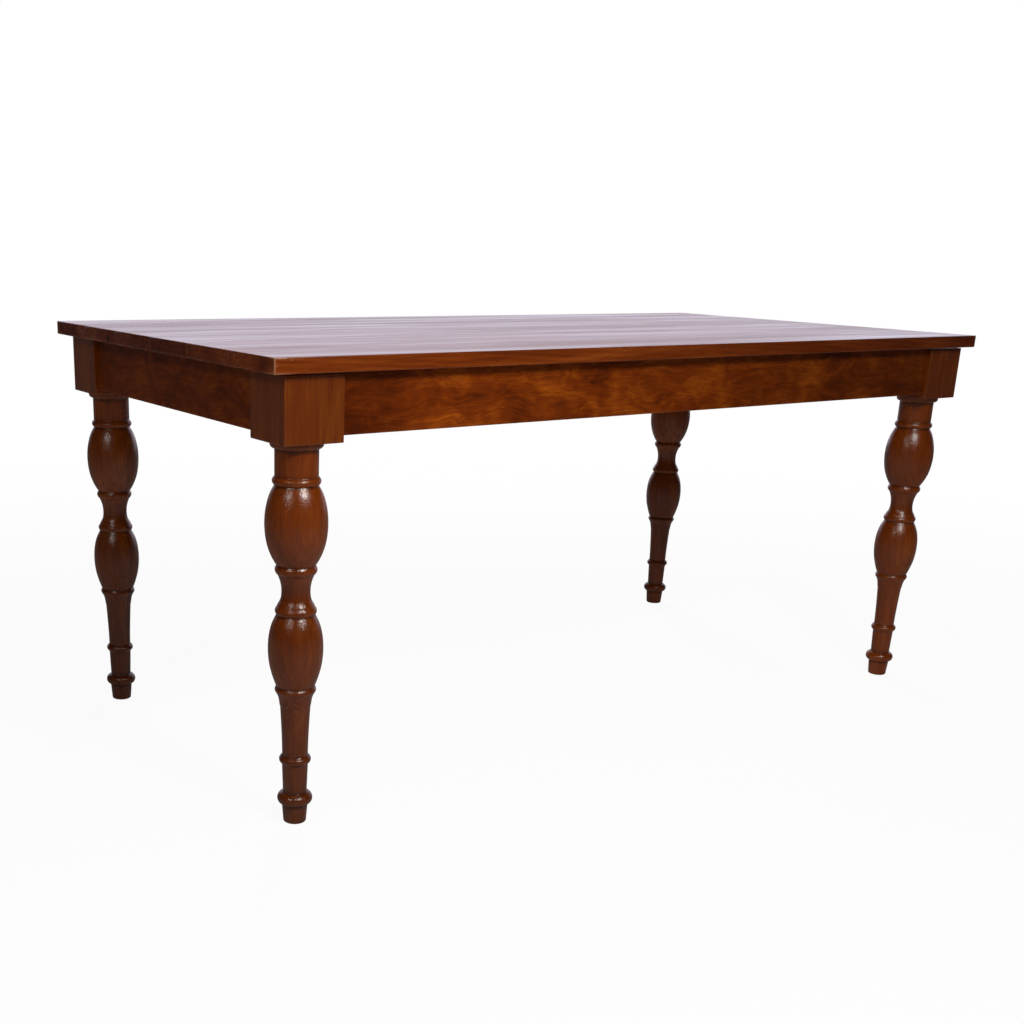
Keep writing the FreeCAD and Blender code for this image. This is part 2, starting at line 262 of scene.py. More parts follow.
@dataclass(frozen=True)
class EasedBlock:
    """A straight piece of wood on a flat outline, with its sharp edges rounded over."""

    outline: list[Flat]
    low: float
    high: float
    radius: float
    seam_radius: float = 0.0
    seam_places: tuple[float, ...] = ()
    least_seam: float = 20 * MM
    least_face: float = 300 * MM * MM
    wear_reach: float = 1.4 * MM
    wear_power: float = 1.5
    steps: tuple[float, ...] = (1.5 * MM, 2.5 * MM, 5.0 * MM)
    sprayed: float = 1.0

    def planes(self) -> list[tuple[Vector, Vector]]:
        """The piece's flat sides, each as a point and an outward normal."""
        up = Vector((0, 0, 1))
        sides = [(up * self.low, -up), (up * self.high, up)]
        for here, after in zip(self.outline, self.outline[1:] + self.outline[:1]):
            run = Vector((*after, 0)) - Vector((*here, 0))
            sides.append((Vector((*here, 0)), Vector((run.y, -run.x, 0)).normalized()))
        return sides

    def on_seam(self, edge: bmesh.types.BMEdge) -> bool:
        """True for an edge that lies in a seam with the next plank."""
        return any(all(abs(end.co.y - place) < NOTHING for end in edge.verts) for place in self.seam_places)

    def make(self, name: str, board: Board) -> Mesh:
        """Build the mesh and mark its surface.

        Args:
            name: Name of the mesh.
            board: The board that the piece was cut from.

        Returns:
            The closed mesh.
        """
        form = bmesh.new()
        base = form.faces.new([form.verts.new((x, y, self.low)) for x, y in self.outline])
        base.normal_update()
        if base.normal.z > 0:
            base.normal_flip()
        raised = bmesh.ops.extrude_face_region(form, geom=[base])
        tops = [part for part in raised["geom"] if isinstance(part, bmesh.types.BMVert)]
        bmesh.ops.translate(form, verts=tops, vec=(0, 0, self.high - self.low))
        bmesh.ops.recalc_face_normals(form, faces=form.faces)

        round_over = {"profile": 0.5, "affect": "EDGES", "clamp_overlap": True}
        outer = [edge for edge in form.edges if not self.on_seam(edge)]
        bmesh.ops.bevel(form, geom=outer, offset=self.radius, segments=4, **round_over)
        if self.seam_radius:
            seams = [edge for edge in form.edges
                     if self.on_seam(edge) and edge.calc_length() > self.least_seam]
            bmesh.ops.bevel(form, geom=seams, offset=self.seam_radius, segments=2, **round_over)

        # Rings of small faces along the edges of each large one, so that the wear can fade inwards
        for step in self.steps:
            wide = [face for face in form.faces
                    if face.calc_area() > self.least_face and len(face.verts) > 3
                    and min(edge.calc_length() for edge in face.edges) > 3 * step]
            if wide:
                bmesh.ops.inset_individual(form, faces=wide, thickness=step, use_even_offset=True)
        bmesh.ops.remove_doubles(form, verts=form.verts, dist=NOTHING)
        bmesh.ops.recalc_face_normals(form, faces=form.faces)
        mesh = stored(form, name)
        smooth(mesh, sharp=40)
        sides = self.planes()
        arris = []
        for vertex in mesh.vertices:
            depths = sorted(abs((vertex.co - point).dot(normal)) for point, normal in sides)
            arris.append(math.exp(-((depths[1] / self.wear_reach) ** self.wear_power)))
        mark_surface(mesh, board, arris, [0.0] * len(arris), self.sprayed)
        return mesh


def rectangle(low: Vector, high: Vector) -> list[Flat]:
    """The corners of a box from above, anticlockwise."""
    return [(low.x, low.y), (high.x, low.y), (high.x, high.y), (low.x, high.y)]


# Finishes

@dataclass(frozen=True)
class SurfacePatch:
    """A knot, speck, rubbed patch, darker end grain or patch of painted shade: its place, its reach, how
    much it covers and how softly it ends.
    """

    place: Place
    reach: float
    cover: float = 0.6
    soft: float = 0.7
    squeeze: Place = (1.0, 1.0, 1.0)


@dataclass(frozen=True)
class StainedWood:
    """Hardwood under red-brown stain and lacquer.

    The stain is uneven, so the colour drifts between orange-brown and near black-brown. The
    growth rings and fibres run along each board, thin spots show on the arrises, and the
    recesses of the turning are darker, with painted shade in the waist. Painted shade also
    darkens some boards along their length and some patches.
    """

    name: str
    dark: str = "#3A1405"
    middle: str = "#65290A"
    light: str = "#8A420A"
    worn: str = "#A8795A"
    glaze: str = "#1E0A05"
    glaze_cover: float = 0.5
    knot: str = "#1C0903"
    pore_tint: tuple[float, ...] = (0.55, 0.48, 0.42, 1.0)
    stain_and_shade_tint: tuple[float, ...] = (0.52, 0.46, 0.42, 1.0)
    ring_spacing: float = 9 * MM
    rings: float = 0.10
    arch: float = 0.06
    fibre_width: float = 1.8 * MM
    fibre_stretch: float = 0.035
    fibres: float = 0.8
    pore_width: float = 0.8 * MM
    blotch_size: float = 45 * MM
    blotch_stretch: float = 0.4
    blotches: float = 1.6
    swirl: float = 30 * MM
    swirl_rate: float = 0.45
    wear: float = 0.30
    rub_rate: float = 160.0
    roughness: float = 0.38
    bare_roughness: float = 0.25
    roughness_drift: float = 0.04
    reflection: float = 0.30
    reflection_drift: float = 0.10
    peel: float = 0.12
    peel_size: float = 3.0 * MM
    fibre_relief: float = 0.3
    ripple: float = 0.0
    stave_seam: float | None = None
    stave_jump: Place = (0.71, 0.34, 0.21)
    stave_tone: float = 0.12
    raggedness: float = 1.6
    mark_edge: float = 1.05
    # Darker patches: stain where end grain soaks it up, and painted shade
    shades: tuple[SurfacePatch, ...] = ()
    knots: tuple[SurfacePatch, ...] = ()
    scuffs: tuple[SurfacePatch, ...] = ()

    def staves(self, tree: Tree, grain: Socket, tone: Socket) -> tuple[Node, Node]:
        """Give the two staves that a leg is glued up from each their own figure and tone.

        Args:
            tree: The material's tree.
            grain: Place in the board's frame.
            tone: How light the stain is.

        Returns:
            The new place and tone.
        """
        across = add(tree, SPLIT, {0: grain}).outputs["Y"]
        beyond = add(tree, MATH, {0: across, 1: self.stave_seam}, operation="GREATER_THAN")
        jump = add(tree, VECTORS, {0: self.stave_jump, "Scale": beyond}, operation="SCALE")
        moved = add(tree, VECTORS, {0: grain, 1: jump}, operation="ADD")
        lighter = add(tree, MATH, {0: beyond, 1: self.stave_tone, 2: tone}, operation="MULTIPLY_ADD")
        return moved, lighter

    def bent_grain(self, tree: Tree, grain: Node | Socket) -> Node:
        """Let the grain wander off the straight, as the trunk did.

        Args:
            tree: The material's tree.
            grain: Place in the board's frame.

        Returns:
            The place that the figure is read at.
        """
        slow = add(tree, VECTORS, {0: grain, 1: (self.blotch_stretch, 1.0, 1.0)}, operation="MULTIPLY")
        wander = add(tree, NOISE, {"Vector": slow, "Scale": self.swirl_rate / self.blotch_size,
                                   "Detail": 2.0, "Roughness": 0.5}).outputs["Color"]
        centred = add(tree, VECTORS, {0: wander, 1: (0.5, 0.5, 0.5)}, operation="SUBTRACT")
        return add(tree, VECTORS, {0: centred, 1: (self.swirl,) * 3, 2: grain}, operation="MULTIPLY_ADD")

    def figure(self, tree: Tree, bent: Node, fibre: Node, blotch: Node) -> Node:
        """Add up the stain's drift, the fibres and the growth rings.

        Args:
            tree: The material's tree.
            bent: Place along the wandering grain.
            fibre: The fibres' noise.
            blotch: The stain's noise.

        Returns:
            The figure, from 0 for darkest to 1 for lightest.
        """
        heart = add(tree, SPLIT, {0: bent}).outputs
        rise = add(tree, MATH, {0: heart["X"], 1: self.arch, 2: heart["Z"]}, operation="MULTIPLY_ADD")
        place = add(tree, "ShaderNodeCombineXYZ", {"X": heart["X"], "Y": heart["Y"], "Z": rise})
        rings = add(tree, "ShaderNodeTexWave",
                    {"Vector": place, "Scale": WAVE_STEP / self.ring_spacing, "Distortion": 1.5,
                     "Detail": 3.0, "Detail Scale": 10.0, "Detail Roughness": 0.6},
                    wave_type="RINGS", rings_direction="X", wave_profile="SIN").outputs["Fac"]
        total = 0.5 - (self.blotches + self.fibres + self.rings) / 2
        for noise, weight in ((blotch, self.blotches), (fibre, self.fibres), (rings, self.rings)):
            total = add(tree, MATH, {0: noise, 1: weight, 2: total}, operation="MULTIPLY_ADD")
        return total

    def marks(self, tree: Tree, surface_patches: tuple[SurfacePatch, ...], ragged: Node) -> Node:
        """Find where the marks and the patches of painted shade lie on the piece.

        Args:
            tree: The material's tree.
            surface_patches: What to mark.
            ragged: A noise that breaks up their outlines.

        Returns:
            How strong the mark is, from 0 to 1.
        """
        place = add(tree, "ShaderNodeTexCoord").outputs["Object"]
        strength = None
        for surface_patch in surface_patches:
            off = add(tree, VECTORS, {0: place, 1: surface_patch.place}, operation="SUBTRACT")
            off = add(tree, VECTORS, {0: off, 1: surface_patch.squeeze}, operation="MULTIPLY")
            far = add(tree, VECTORS, {0: off}, operation="LENGTH")
            near = add(tree, MATH, {0: far, 1: -1 / surface_patch.reach, 2: surface_patch.cover},
                       operation="MULTIPLY_ADD")
            near = add(tree, MATH, {0: ragged, 1: self.raggedness, 2: near}, operation="MULTIPLY_ADD")
            near = add(tree, RANGE, {"Value": near, "From Min": self.mark_edge - surface_patch.soft,
                                     "From Max": self.mark_edge}, **SMOOTH)
            if strength is not None:
                near = add(tree, MATH, {0: near, 1: strength}, operation="MAXIMUM")
            strength = near
        return strength

    def make(self) -> Material:
        """Build the material.

        Returns:
            The finished material.
        """
        material, tree = blank_material(self.name)
        grain = add(tree, "ShaderNodeAttribute", attribute_name="grain").outputs["Vector"]
        arris, hollow, tone, sprayed = (add(tree, "ShaderNodeAttribute", attribute_name=name).outputs["Fac"]
                                        for name in ("arris", "hollow", "tone", "sprayed"))
        lacquer = grain
        if self.stave_seam is not None:
            grain, tone = self.staves(tree, grain, tone)
        bent = self.bent_grain(tree, grain)
        drawn = add(tree, VECTORS, {0: bent, 1: (self.fibre_stretch, 1.0, 1.0)}, operation="MULTIPLY")
        fibre = add(tree, NOISE, {"Vector": drawn, "Scale": NOISE_SPOT / self.fibre_width, "Detail": 4.0,
                                  "Roughness": 0.65})
        pores = add(tree, NOISE, {"Vector": drawn, "Scale": NOISE_SPOT / self.pore_width, "Detail": 1.0})
        drawn = add(tree, VECTORS, {0: bent, 1: (self.blotch_stretch, 1.0, 1.0)}, operation="MULTIPLY")
        blotch = add(tree, NOISE, {"Vector": drawn, "Scale": NOISE_SPOT / self.blotch_size, "Detail": 6.0,
                                   "Roughness": 0.66, "Distortion": 0.6})
        rub = add(tree, NOISE, {"Vector": grain, "Scale": self.rub_rate, "Detail": 5.0, "Roughness": 0.7})

        # The stain's colour, darker in the pores, in the recesses and at the marks; the dark in the waist
        # and in some patches is painted shade
        colours = add(tree, "ShaderNodeValToRGB", {"Fac": self.figure(tree, bent, fibre, blotch)})
        ramp_stops(colours, [(0.0, self.dark), (0.5, self.middle), (1.0, self.light)])
        # The tone lifts or lowers the stain, and carries painted shade where it changes along a board
        lift = add(tree, RANGE, {"Value": tone, "To Min": 0.5, "To Max": 1.5})
        colour = add(tree, MIX, {0: 1.0, 6: colours, 7: lift}, **TINT)
        sunk = add(tree, RANGE, {"Value": pores, "From Min": 0.62, "From Max": 0.74, "To Max": 0.5},
                   **SMOOTH)
        colour = add(tree, MIX, {0: sunk, 6: colour, 7: self.pore_tint}, **TINT)
        recess_darkening = add(tree, MATH, {0: hollow, 1: self.glaze_cover}, operation="MULTIPLY")
        colour = add(tree, MIX, {0: recess_darkening, 6: colour, 7: srgb(self.glaze)}, **COVER)
        # Darker patches: stain on the end grain of the top, and painted shade on the front apron beside its
        # block
        if self.shades:
            shade = self.marks(tree, self.shades, blotch)
            colour = add(tree, MIX, {0: shade, 6: colour, 7: self.stain_and_shade_tint}, **TINT)
        if self.knots:
            knot = self.marks(tree, self.knots, blotch)
            colour = add(tree, MIX, {0: knot, 6: colour, 7: srgb(self.knot)}, **COVER)

        # Thin spots: the lacquer is rubbed through in places along the arrises
        thin = add(tree, RANGE, {"Value": rub, "From Min": 0.45, "From Max": 0.65}, **SMOOTH)
        thin = add(tree, MATH, {0: thin, 1: arris}, operation="MULTIPLY")
        thin = add(tree, MATH, {0: thin, 1: self.wear}, operation="MULTIPLY")
        if self.scuffs:
            scuff = self.marks(tree, self.scuffs, rub)
            specks = add(tree, RANGE, {"Value": rub, "From Min": 0.60, "From Max": 0.70, "To Max": 0.5},
                         **SMOOTH)
            bared = add(tree, MATH, {0: arris, 1: specks}, operation="MAXIMUM")
            bared = add(tree, MATH, {0: bared, 1: scuff}, operation="MULTIPLY")
            thin = add(tree, MATH, {0: thin, 1: bared}, operation="MAXIMUM")
        colour = add(tree, MIX, {0: thin, 6: colour, 7: srgb(self.worn)}, **COVER)

        # Orange peel in the lacquer, and the grain that telegraphs through it
        peel = add(tree, NOISE, {"Vector": lacquer, "Scale": 1 / self.peel_size, "Detail": 2.0})
        relief = add(tree, MATH, {0: fibre, 1: self.fibre_relief, 2: peel}, operation="MULTIPLY_ADD")
        depth = add(tree, MATH, {0: sprayed, 1: self.peel}, operation="MULTIPLY")
        wave = add(tree, MATH, {0: blotch, 1: self.ripple}, operation="MULTIPLY")
        relief = add(tree, MATH, {0: relief, 1: depth, 2: wave}, operation="MULTIPLY_ADD")
        bump = add(tree, "ShaderNodeBump", {"Height": relief, "Distance": 1 * MM})
        drift = {"Value": blotch, "From Min": 0.3, "From Max": 0.7}
        gloss = add(tree, RANGE, {**drift, "To Min": self.roughness - self.roughness_drift,
                                  "To Max": self.roughness + self.roughness_drift})
        gloss = add(tree, MATH, {0: thin, 1: self.bare_roughness, 2: gloss}, operation="MULTIPLY_ADD")
        film = add(tree, RANGE, {**drift, "To Min": self.reflection * (1 - self.reflection_drift),
                                 "To Max": self.reflection * (1 + self.reflection_drift)})
        shader = add(tree, "ShaderNodeBsdfPrincipled",
                     {"Base Color": colour, "Roughness": gloss, "Normal": bump, "IOR": 1.5,
                      "Specular IOR Level": film})
        add(tree, "ShaderNodeOutputMaterial", {"Surface": shader})
        return material


@dataclass(frozen=True)
class PlainSawnWood:
    """Planed wood without stain, for the pieces that only show from below.

    It is pale straw-brown and matt, with darker streaks and short pores along the grain and
    slow changes of tone from board to board.
    """

    name: str
    along: Place = (0.0, 1.0, 0.0)
    pale: str = "#B98F62"
    dark: str = "#8A5F3A"
    stretch: float = 0.06
    streak_width: float = 2.3 * MM
    band_width: float = 26 * MM
    bands: float = 0.9

    def make(self) -> Material:
        """Build the material.

        Returns:
            The finished material.
        """
        material, tree = blank_material(self.name)
        place = add(tree, "ShaderNodeTexCoord").outputs["Object"]
        along = add(tree, VECTORS, {0: place, 1: self.along}, operation="PROJECT")
        streak = add(tree, VECTORS, {0: along, 1: (self.stretch - 1,) * 3, 2: place},
                     operation="MULTIPLY_ADD")
        fibre = add(tree, NOISE, {"Vector": streak, "Scale": NOISE_SPOT / self.streak_width, "Detail": 5.0,
                                  "Roughness": 0.65})
        band = add(tree, NOISE, {"Vector": streak, "Scale": NOISE_SPOT / self.band_width, "Detail": 3.0})
        figure = add(tree, MATH, {0: band, 1: self.bands, 2: -self.bands / 2}, operation="MULTIPLY_ADD")
        figure = add(tree, MATH, {0: figure, 1: fibre}, operation="ADD")
        colours = add(tree, "ShaderNodeValToRGB", {"Fac": figure})
        ramp_stops(colours, [(0.25, self.dark), (0.75, self.pale)])
        bump = add(tree, "ShaderNodeBump", {"Height": fibre, "Strength": 0.3, "Distance": 0.3 * MM})
        rough = add(tree, RANGE, {"Value": fibre, "From Min": 0.3, "From Max": 0.7, "To Min": 0.7,
                                  "To Max": 0.56})
        shader = add(tree, "ShaderNodeBsdfPrincipled",
                     {"Base Color": colours, "Roughness": rough, "Normal": bump})
        add(tree, "ShaderNodeOutputMaterial", {"Surface": shader})
        return material


@dataclass(frozen=True)
class ZincPlatedSteel:
    """Bright zinc on steel screws and bolts: cool grey with a faint mottle."""

    name: str
    dull: str = "#9A9DA0"
    bright: str = "#C6C9CB"

    def make(self) -> Material:
        """Build the material.

        Returns:
            The finished material.
        """
        material, tree = blank_material(self.name)
        place = add(tree, "ShaderNodeTexCoord").outputs["Object"]
        mottle = add(tree, NOISE, {"Vector": place, "Scale": 400.0, "Detail": 3.0})
        colours = add(tree, "ShaderNodeValToRGB", {"Fac": mottle})
        ramp_stops(colours, [(0.3, self.dull), (0.7, self.bright)])
        rough = add(tree, RANGE, {"Value": mottle, "To Min": 0.28, "To Max": 0.45})
        shader = add(tree, "ShaderNodeBsdfPrincipled",
                     {"Base Color": colours, "Roughness": rough, "Metallic": 1.0})
        add(tree, "ShaderNodeOutputMaterial", {"Surface": shader})
        return material


# Pieces

class Corner(Enum):
    """A corner of the table, with the way to it along X and Y."""

    FRONT_LEFT = (-1, -1)
    FRONT_RIGHT = (1, -1)
    BACK_LEFT = (-1, 1)
    BACK_RIGHT = (1, 1)

    @property
    def label(self) -> str:
        """The corner's name as the nodes have it."""
        return self.name.lower()

    def place(self, off: Flat, level: float) -> Place:
        """A place in this corner, from its distances to the table's middle and its height."""
        return (self.value[0] * off[0], self.value[1] * off[1], level)


@dataclass
class Profile:
    """The half outline of a turning: radius and height, in millimetres, from the floor up."""

    points: list[Flat] = field(default_factory=list)

    def line_to(self, radius: float, height: float, step: float = 8.0) -> None:
        """A straight run, in steps of about this length.

        Args:
            radius: Radius at the end.
            height: Height at the end.
            step: Longest step in millimetres.
        """
        if not self.points:
            self.points.append((radius, height))
            return
        start = self.points[-1]
        count = max(1, math.ceil(math.hypot(radius - start[0], height - start[1]) / step))
        for index in range(1, count + 1):
            share = index / count
            self.points.append((start[0] + (radius - start[0]) * share,
                                start[1] + (height - start[1]) * share))

    def arc_to(self, middle: Flat, end: Flat, count: int = 10) -> None:
        """A round cut, on the circle through the last point, a middle point and the end.

        Args:
            middle: A point on the arc.
            end: Where the arc ends.
            count: How many steps the arc is made in.
        """
        (ax, ay), (bx, by), (cx, cy) = self.points[-1], middle, end
        scale = 2 * (ax * (by - cy) + bx * (cy - ay) + cx * (ay - by))
        ox = ((ax * ax + ay * ay) * (by - cy) + (bx * bx + by * by) * (cy - ay)
              + (cx * cx + cy * cy) * (ay - by)) / scale
        oy = ((ax * ax + ay * ay) * (cx - bx) + (bx * bx + by * by) * (ax - cx)
              + (cx * cx + cy * cy) * (bx - ax)) / scale
        radius = math.hypot(ax - ox, ay - oy)
        start, mid, stop = (math.atan2(y - oy, x - ox) for x, y in ((ax, ay), (bx, by), (cx, cy)))
        sweep = (stop - start) % math.tau
        if (mid - start) % math.tau > sweep:
            sweep -= math.tau
        for index in range(1, count + 1):
            angle = start + sweep * index / count
            self.points.append((ox + radius * math.cos(angle), oy + radius * math.sin(angle)))

    def curve_through(self, stations: list[Flat], step: float = 3.0) -> None:
        """A smooth swell through some stations.

        Args:
            stations: Radius and height of each station after the last point.
            step: Rough height of each step in millimetres.
        """
        knots = [self.points[-1]] + stations
        count = len(knots)
        slopes = []
        for index in range(count):
            low, high = knots[max(index - 1, 0)], knots[min(index + 1, count - 1)]
            slopes.append((high[0] - low[0]) / (high[1] - low[1]))
        for index in range(count - 1):
            (r0, z0), (r1, z1) = knots[index], knots[index + 1]
            span = z1 - z0
            pieces = max(1, math.ceil(span / step))
            for part in range(1, pieces + 1):
                t = part / pieces
                radius = (r0 * (2 * t ** 3 - 3 * t * t + 1) + slopes[index] * span * (t ** 3 - 2 * t * t + t)
                          + r1 * (3 * t * t - 2 * t ** 3) + slopes[index + 1] * span * (t ** 3 - t * t))
                self.points.append((radius, z0 + span * t))


def leg_profile() -> Profile:
    """The turning of a leg from the floor to its block, as the photograph shows it.

    Returns:
        The half outline in millimetres.
    """
    cut = Profile()
    cut.line_to(0.0, 0.0)
    cut.line_to(16.6, 0.0)
    cut.arc_to((18.0, 0.6), (18.9, 2.2), 5)
    cut.line_to(21.2, 30.8)
    cut.arc_to((21.0, 31.4), (20.9, 32.0), 2)
    cut.arc_to((29.0, 42.0), (20.2, 52.5), 16)
    cut.arc_to((19.7, 53.0), (19.6, 53.8), 2)
    cut.line_to(21.2, 99.0)
    cut.arc_to((21.6, 102.6), (23.0, 104.8), 4)
    cut.arc_to((26.1, 111.2), (22.2, 117.0), 12)
    cut.arc_to((21.2, 118.6), (21.1, 121.0), 4)
    cut.curve_through([(21.5, 140), (22.3, 160), (23.4, 182), (24.7, 203.5)], 6)
    cut.line_to(25.5, 205.2)
    cut.curve_through([(26.1, 210), (27.3, 217), (29.4, 223), (32.0, 227.4)], 2)
    cut.arc_to((33.4, 231.2), (31.2, 236.2), 10)
    cut.line_to(30.7, 237.6)
    cut.curve_through([(32.6, 241), (35.5, 249), (37.7, 256), (39.7, 263), (41.4, 270), (43.0, 280),
                       (44.0, 290), (44.3, 300), (44.0, 310), (42.9, 321), (41.0, 331), (38.4, 340),
                       (35.0, 348), (31.2, 355.4)], 3)
    cut.line_to(30.7, 356.6)
    cut.arc_to((33.3, 362.4), (31.0, 368.2), 10)
    cut.arc_to((29.9, 370.0), (29.4, 372.0), 3)
    cut.curve_through([(26.6, 376.5), (24.4, 381.5), (23.2, 388.5), (23.0, 396), (23.6, 403),
                       (25.2, 410.5), (27.4, 416.8), (29.4, 421.6)], 2.5)
    cut.arc_to((33.6, 429.4), (31.6, 435.2), 10)
    cut.line_to(31.0, 436.6)
    cut.curve_through([(33.4, 440), (38.4, 449), (41.9, 457), (45.4, 467.5), (48.0, 480), (49.3, 492),
                       (49.7, 503), (49.2, 514), (48.2, 523), (46.7, 531), (44.6, 539.5), (41.4, 549),
                       (38.0, 556), (34.8, 561.4)], 3)
    cut.line_to(34.3, 562.6)
    cut.arc_to((38.1, 569.4), (34.7, 575.2), 12)
    cut.arc_to((34.3, 576.0), (34.2, 577.2), 2)
    cut.line_to(34.3, 617.6)
    cut.arc_to((34.5, 618.6), (35.4, 619.0), 3)
    cut.arc_to((39.9, 621.0), (41.6, 625.2), 8)
    cut.line_to(41.6, 630.4)
    cut.line_to(0.0, 630.4)
    return cut


LEG_LOW, LEG_HIGH = (Vector(corner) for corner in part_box("leg_" + Corner.BACK_RIGHT.label))


@dataclass
class TurnedLeg:
    """One leg: a square block over a turning of two eggs, rings, a ball and a bare foot.

    The waist and the reach of a bend are in millimetres, as the profile is, and the starts and
    spans of crowns and recesses are turns of the outline in radians.
    """

    corner: Corner
    axis: Flat = ((LEG_LOW.x + LEG_HIGH.x) / 2, (LEG_LOW.y + LEG_HIGH.y) / 2)
    block_width: float = LEG_HIGH.x - LEG_LOW.x
    block_low: float = 630 * MM
    block_high: float = LEG_HIGH.z
    block_radius: float = 1.3 * MM
    inner_flat: float = 22 * MM
    heart_level: float = 0.4
    heart_depths: Flat = (0.07, 0.11)
    tone: float = 0.52
    # Painted shade: how much the tone changes per metre up the leg
    painted_shade_slope: float = 1.2
    block_tone_and_shade: float = 0.48
    block_sprayed: float = 0.05
    waist: float = 396.0
    waist_reach: float = 26.0
    waist_painted_shade: float = 0.55
    around: int = 96
    bend_reach: float = 2.2
    crown_start: float = 0.5
    crown_span: float = 1.2
    crown_wear: float = 0.5
    recess_start: float = 0.15
    recess_span: float = 0.8

    def block_outline(self) -> list[Flat]:
        """The block from above, with the flat for the brace at its inner corner."""
        half = self.block_width / 2
        cut = half - self.inner_flat
        shape = [(half, half), (-half, half), (-half, -cut), (-cut, -half), (half, -half)]
        placed = [self.corner.place((self.axis[0] + x, self.axis[1] + y), 0.0)[:2] for x, y in shape]
        return placed if self.corner.value[0] * self.corner.value[1] > 0 else placed[::-1]

    def turning(self, board: Board) -> Mesh:
        """The turned part as a closed mesh of rings.

        Args:
            board: The board that the leg was cut from.

        Returns:
            The marked mesh.
        """
        points = leg_profile().points
        x, y, _ = self.corner.place(self.axis, 0.0)
        form = bmesh.new()
        loops = []
        crowns = []
        hollows = []
        for index, (radius, height) in enumerate(points):
            crown, recess = self.bend(points, index)
            # Painted shade darkens the waist, under the egg that hangs over it
            recess = max(recess, self.waist_painted_shade * (1 - abs(height - self.waist) / self.waist_reach))
            if radius < NOTHING:
                loops.append([form.verts.new((x, y, height * MM))])
                crowns.append(0.0)
                hollows.append(0.0)
                continue
            turns = [math.tau * step / self.around for step in range(self.around)]
            ring = [(x + radius * MM * math.cos(turn), y + radius * MM * math.sin(turn)) for turn in turns]
            loops.append([form.verts.new((*place, height * MM)) for place in ring])
            crowns += [crown] * self.around
            hollows += [recess] * self.around
        for lower, upper in zip(loops, loops[1:]):
            for step in range(self.around):
                after = (step + 1) % self.around
                if len(lower) == 1:
                    form.faces.new((lower[0], upper[after], upper[step]))
                elif len(upper) == 1:
                    form.faces.new((lower[step], lower[after], upper[0]))
                else:
                    form.faces.new((lower[step], lower[after], upper[after], upper[step]))
        bmesh.ops.recalc_face_normals(form, faces=form.faces)
        mesh = stored(form, "leg_turning_" + self.corner.label)
        smooth(mesh, sharp=55)
        mark_surface(mesh, board, crowns, hollows)
        return mesh

    def bend(self, points: list[Flat], index: int) -> Flat:
        """How sharply the outline turns at a point, within about 2 mm.

        Args:
            points: The outline.
            index: Which point.

        Returns:
            How much of a crown and how much of a recess it is, each from 0 to 1.
        """
        here = Vector(points[index])
        below, above = index, index
        while below > 0 and (Vector(points[below]) - here).length < self.bend_reach:
            below -= 1
        while above < len(points) - 1 and (Vector(points[above]) - here).length < self.bend_reach:
            above += 1
        first = here - Vector(points[below])
        second = Vector(points[above]) - here
        if first.length < NOTHING or second.length < NOTHING:
            return (0.0, 0.0)
        turn = math.atan2(first.x * second.y - first.y * second.x, first.dot(second))
        crown = min(1.0, max(0.0, turn - self.crown_start) / self.crown_span)
        recess = min(1.0, max(0.0, -turn - self.recess_start) / self.recess_span)
        return (crown * self.crown_wear, recess)

    def make(self, finish: Material, seed: int) -> None:
        """Build the leg and dress it.

        Args:
            finish: The legs' wood.
            seed: Makes this leg's grain its own.
        """
        draw = random.Random(seed)
        label = self.corner.label
        board = Board(Vector(self.corner.place(self.axis, self.heart_level)), Vector((0, 0, 1)),
                      Vector((0, -1, 0)), (0.0, draw.uniform(*self.heart_depths)),
                      draw.uniform(*CUT_RANGE), self.tone, self.painted_shade_slope)
        block = EasedBlock(self.block_outline(), self.block_low, self.block_high, self.block_radius,
                           sprayed=self.block_sprayed)
        form = bmesh.new()
        for part in (self.turning(board),
                     block.make("leg_block_" + label, replace(board, tone=self.block_tone_and_shade, painted_shade_slope=0.0))):
            form.from_mesh(part)
            bpy.data.meshes.remove(part)
        name = "turned_leg_" + label
        finish_piece(name, stored(form, name), finish, "leg_" + label)


@dataclass
class PlankTop:
    """The top: six planks edge to edge, with eased outer edges and hairline seams."""

    count: int = 6
    edge_radius: float = 1.6 * MM
    seam_radius: float = 0.4 * MM
    first_seed: int = 40
    heart_sides: Flat = (-0.03, 0.03)
    heart_depths: Flat = (0.05, 0.09)
    tones: Flat = (0.42, 0.58)
    front_tone: float = -0.08
    front_shade_slope: float = -0.25

    def make(self, finish: Material) -> None:
        """Build the planks, front to back.

        Args:
            finish: The top's wood.
        """
        for index in range(self.count):
            draw = random.Random(self.first_seed + index)
            number = str(index + 1)
            low, high = (Vector(corner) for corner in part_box("top_plank_" + number))
            seams = [low.y] if index > 0 else []
            seams += [high.y] if index < self.count - 1 else []
            block = EasedBlock(rectangle(low, high), low.z, high.z, self.edge_radius, self.seam_radius,
                               tuple(seams))
            # The front plank gets its own tone, and painted shade that darkens it towards the right end,
            # where less light falls
            tone, shade_slope = (self.front_tone, self.front_shade_slope) if index == 0 else (0.0, 0.0)
            board = Board(Vector((0, (low.y + high.y) / 2, high.z)), Vector((1, 0, 0)), Vector((0, 0, 1)),
                          (draw.uniform(*self.heart_sides), draw.uniform(*self.heart_depths)),
                          draw.uniform(*CUT_RANGE), draw.uniform(*self.tones) + tone, shade_slope)
            name = "top_board_" + number
            finish_piece(name, block.make(name, board), finish, "top_plank_" + number)


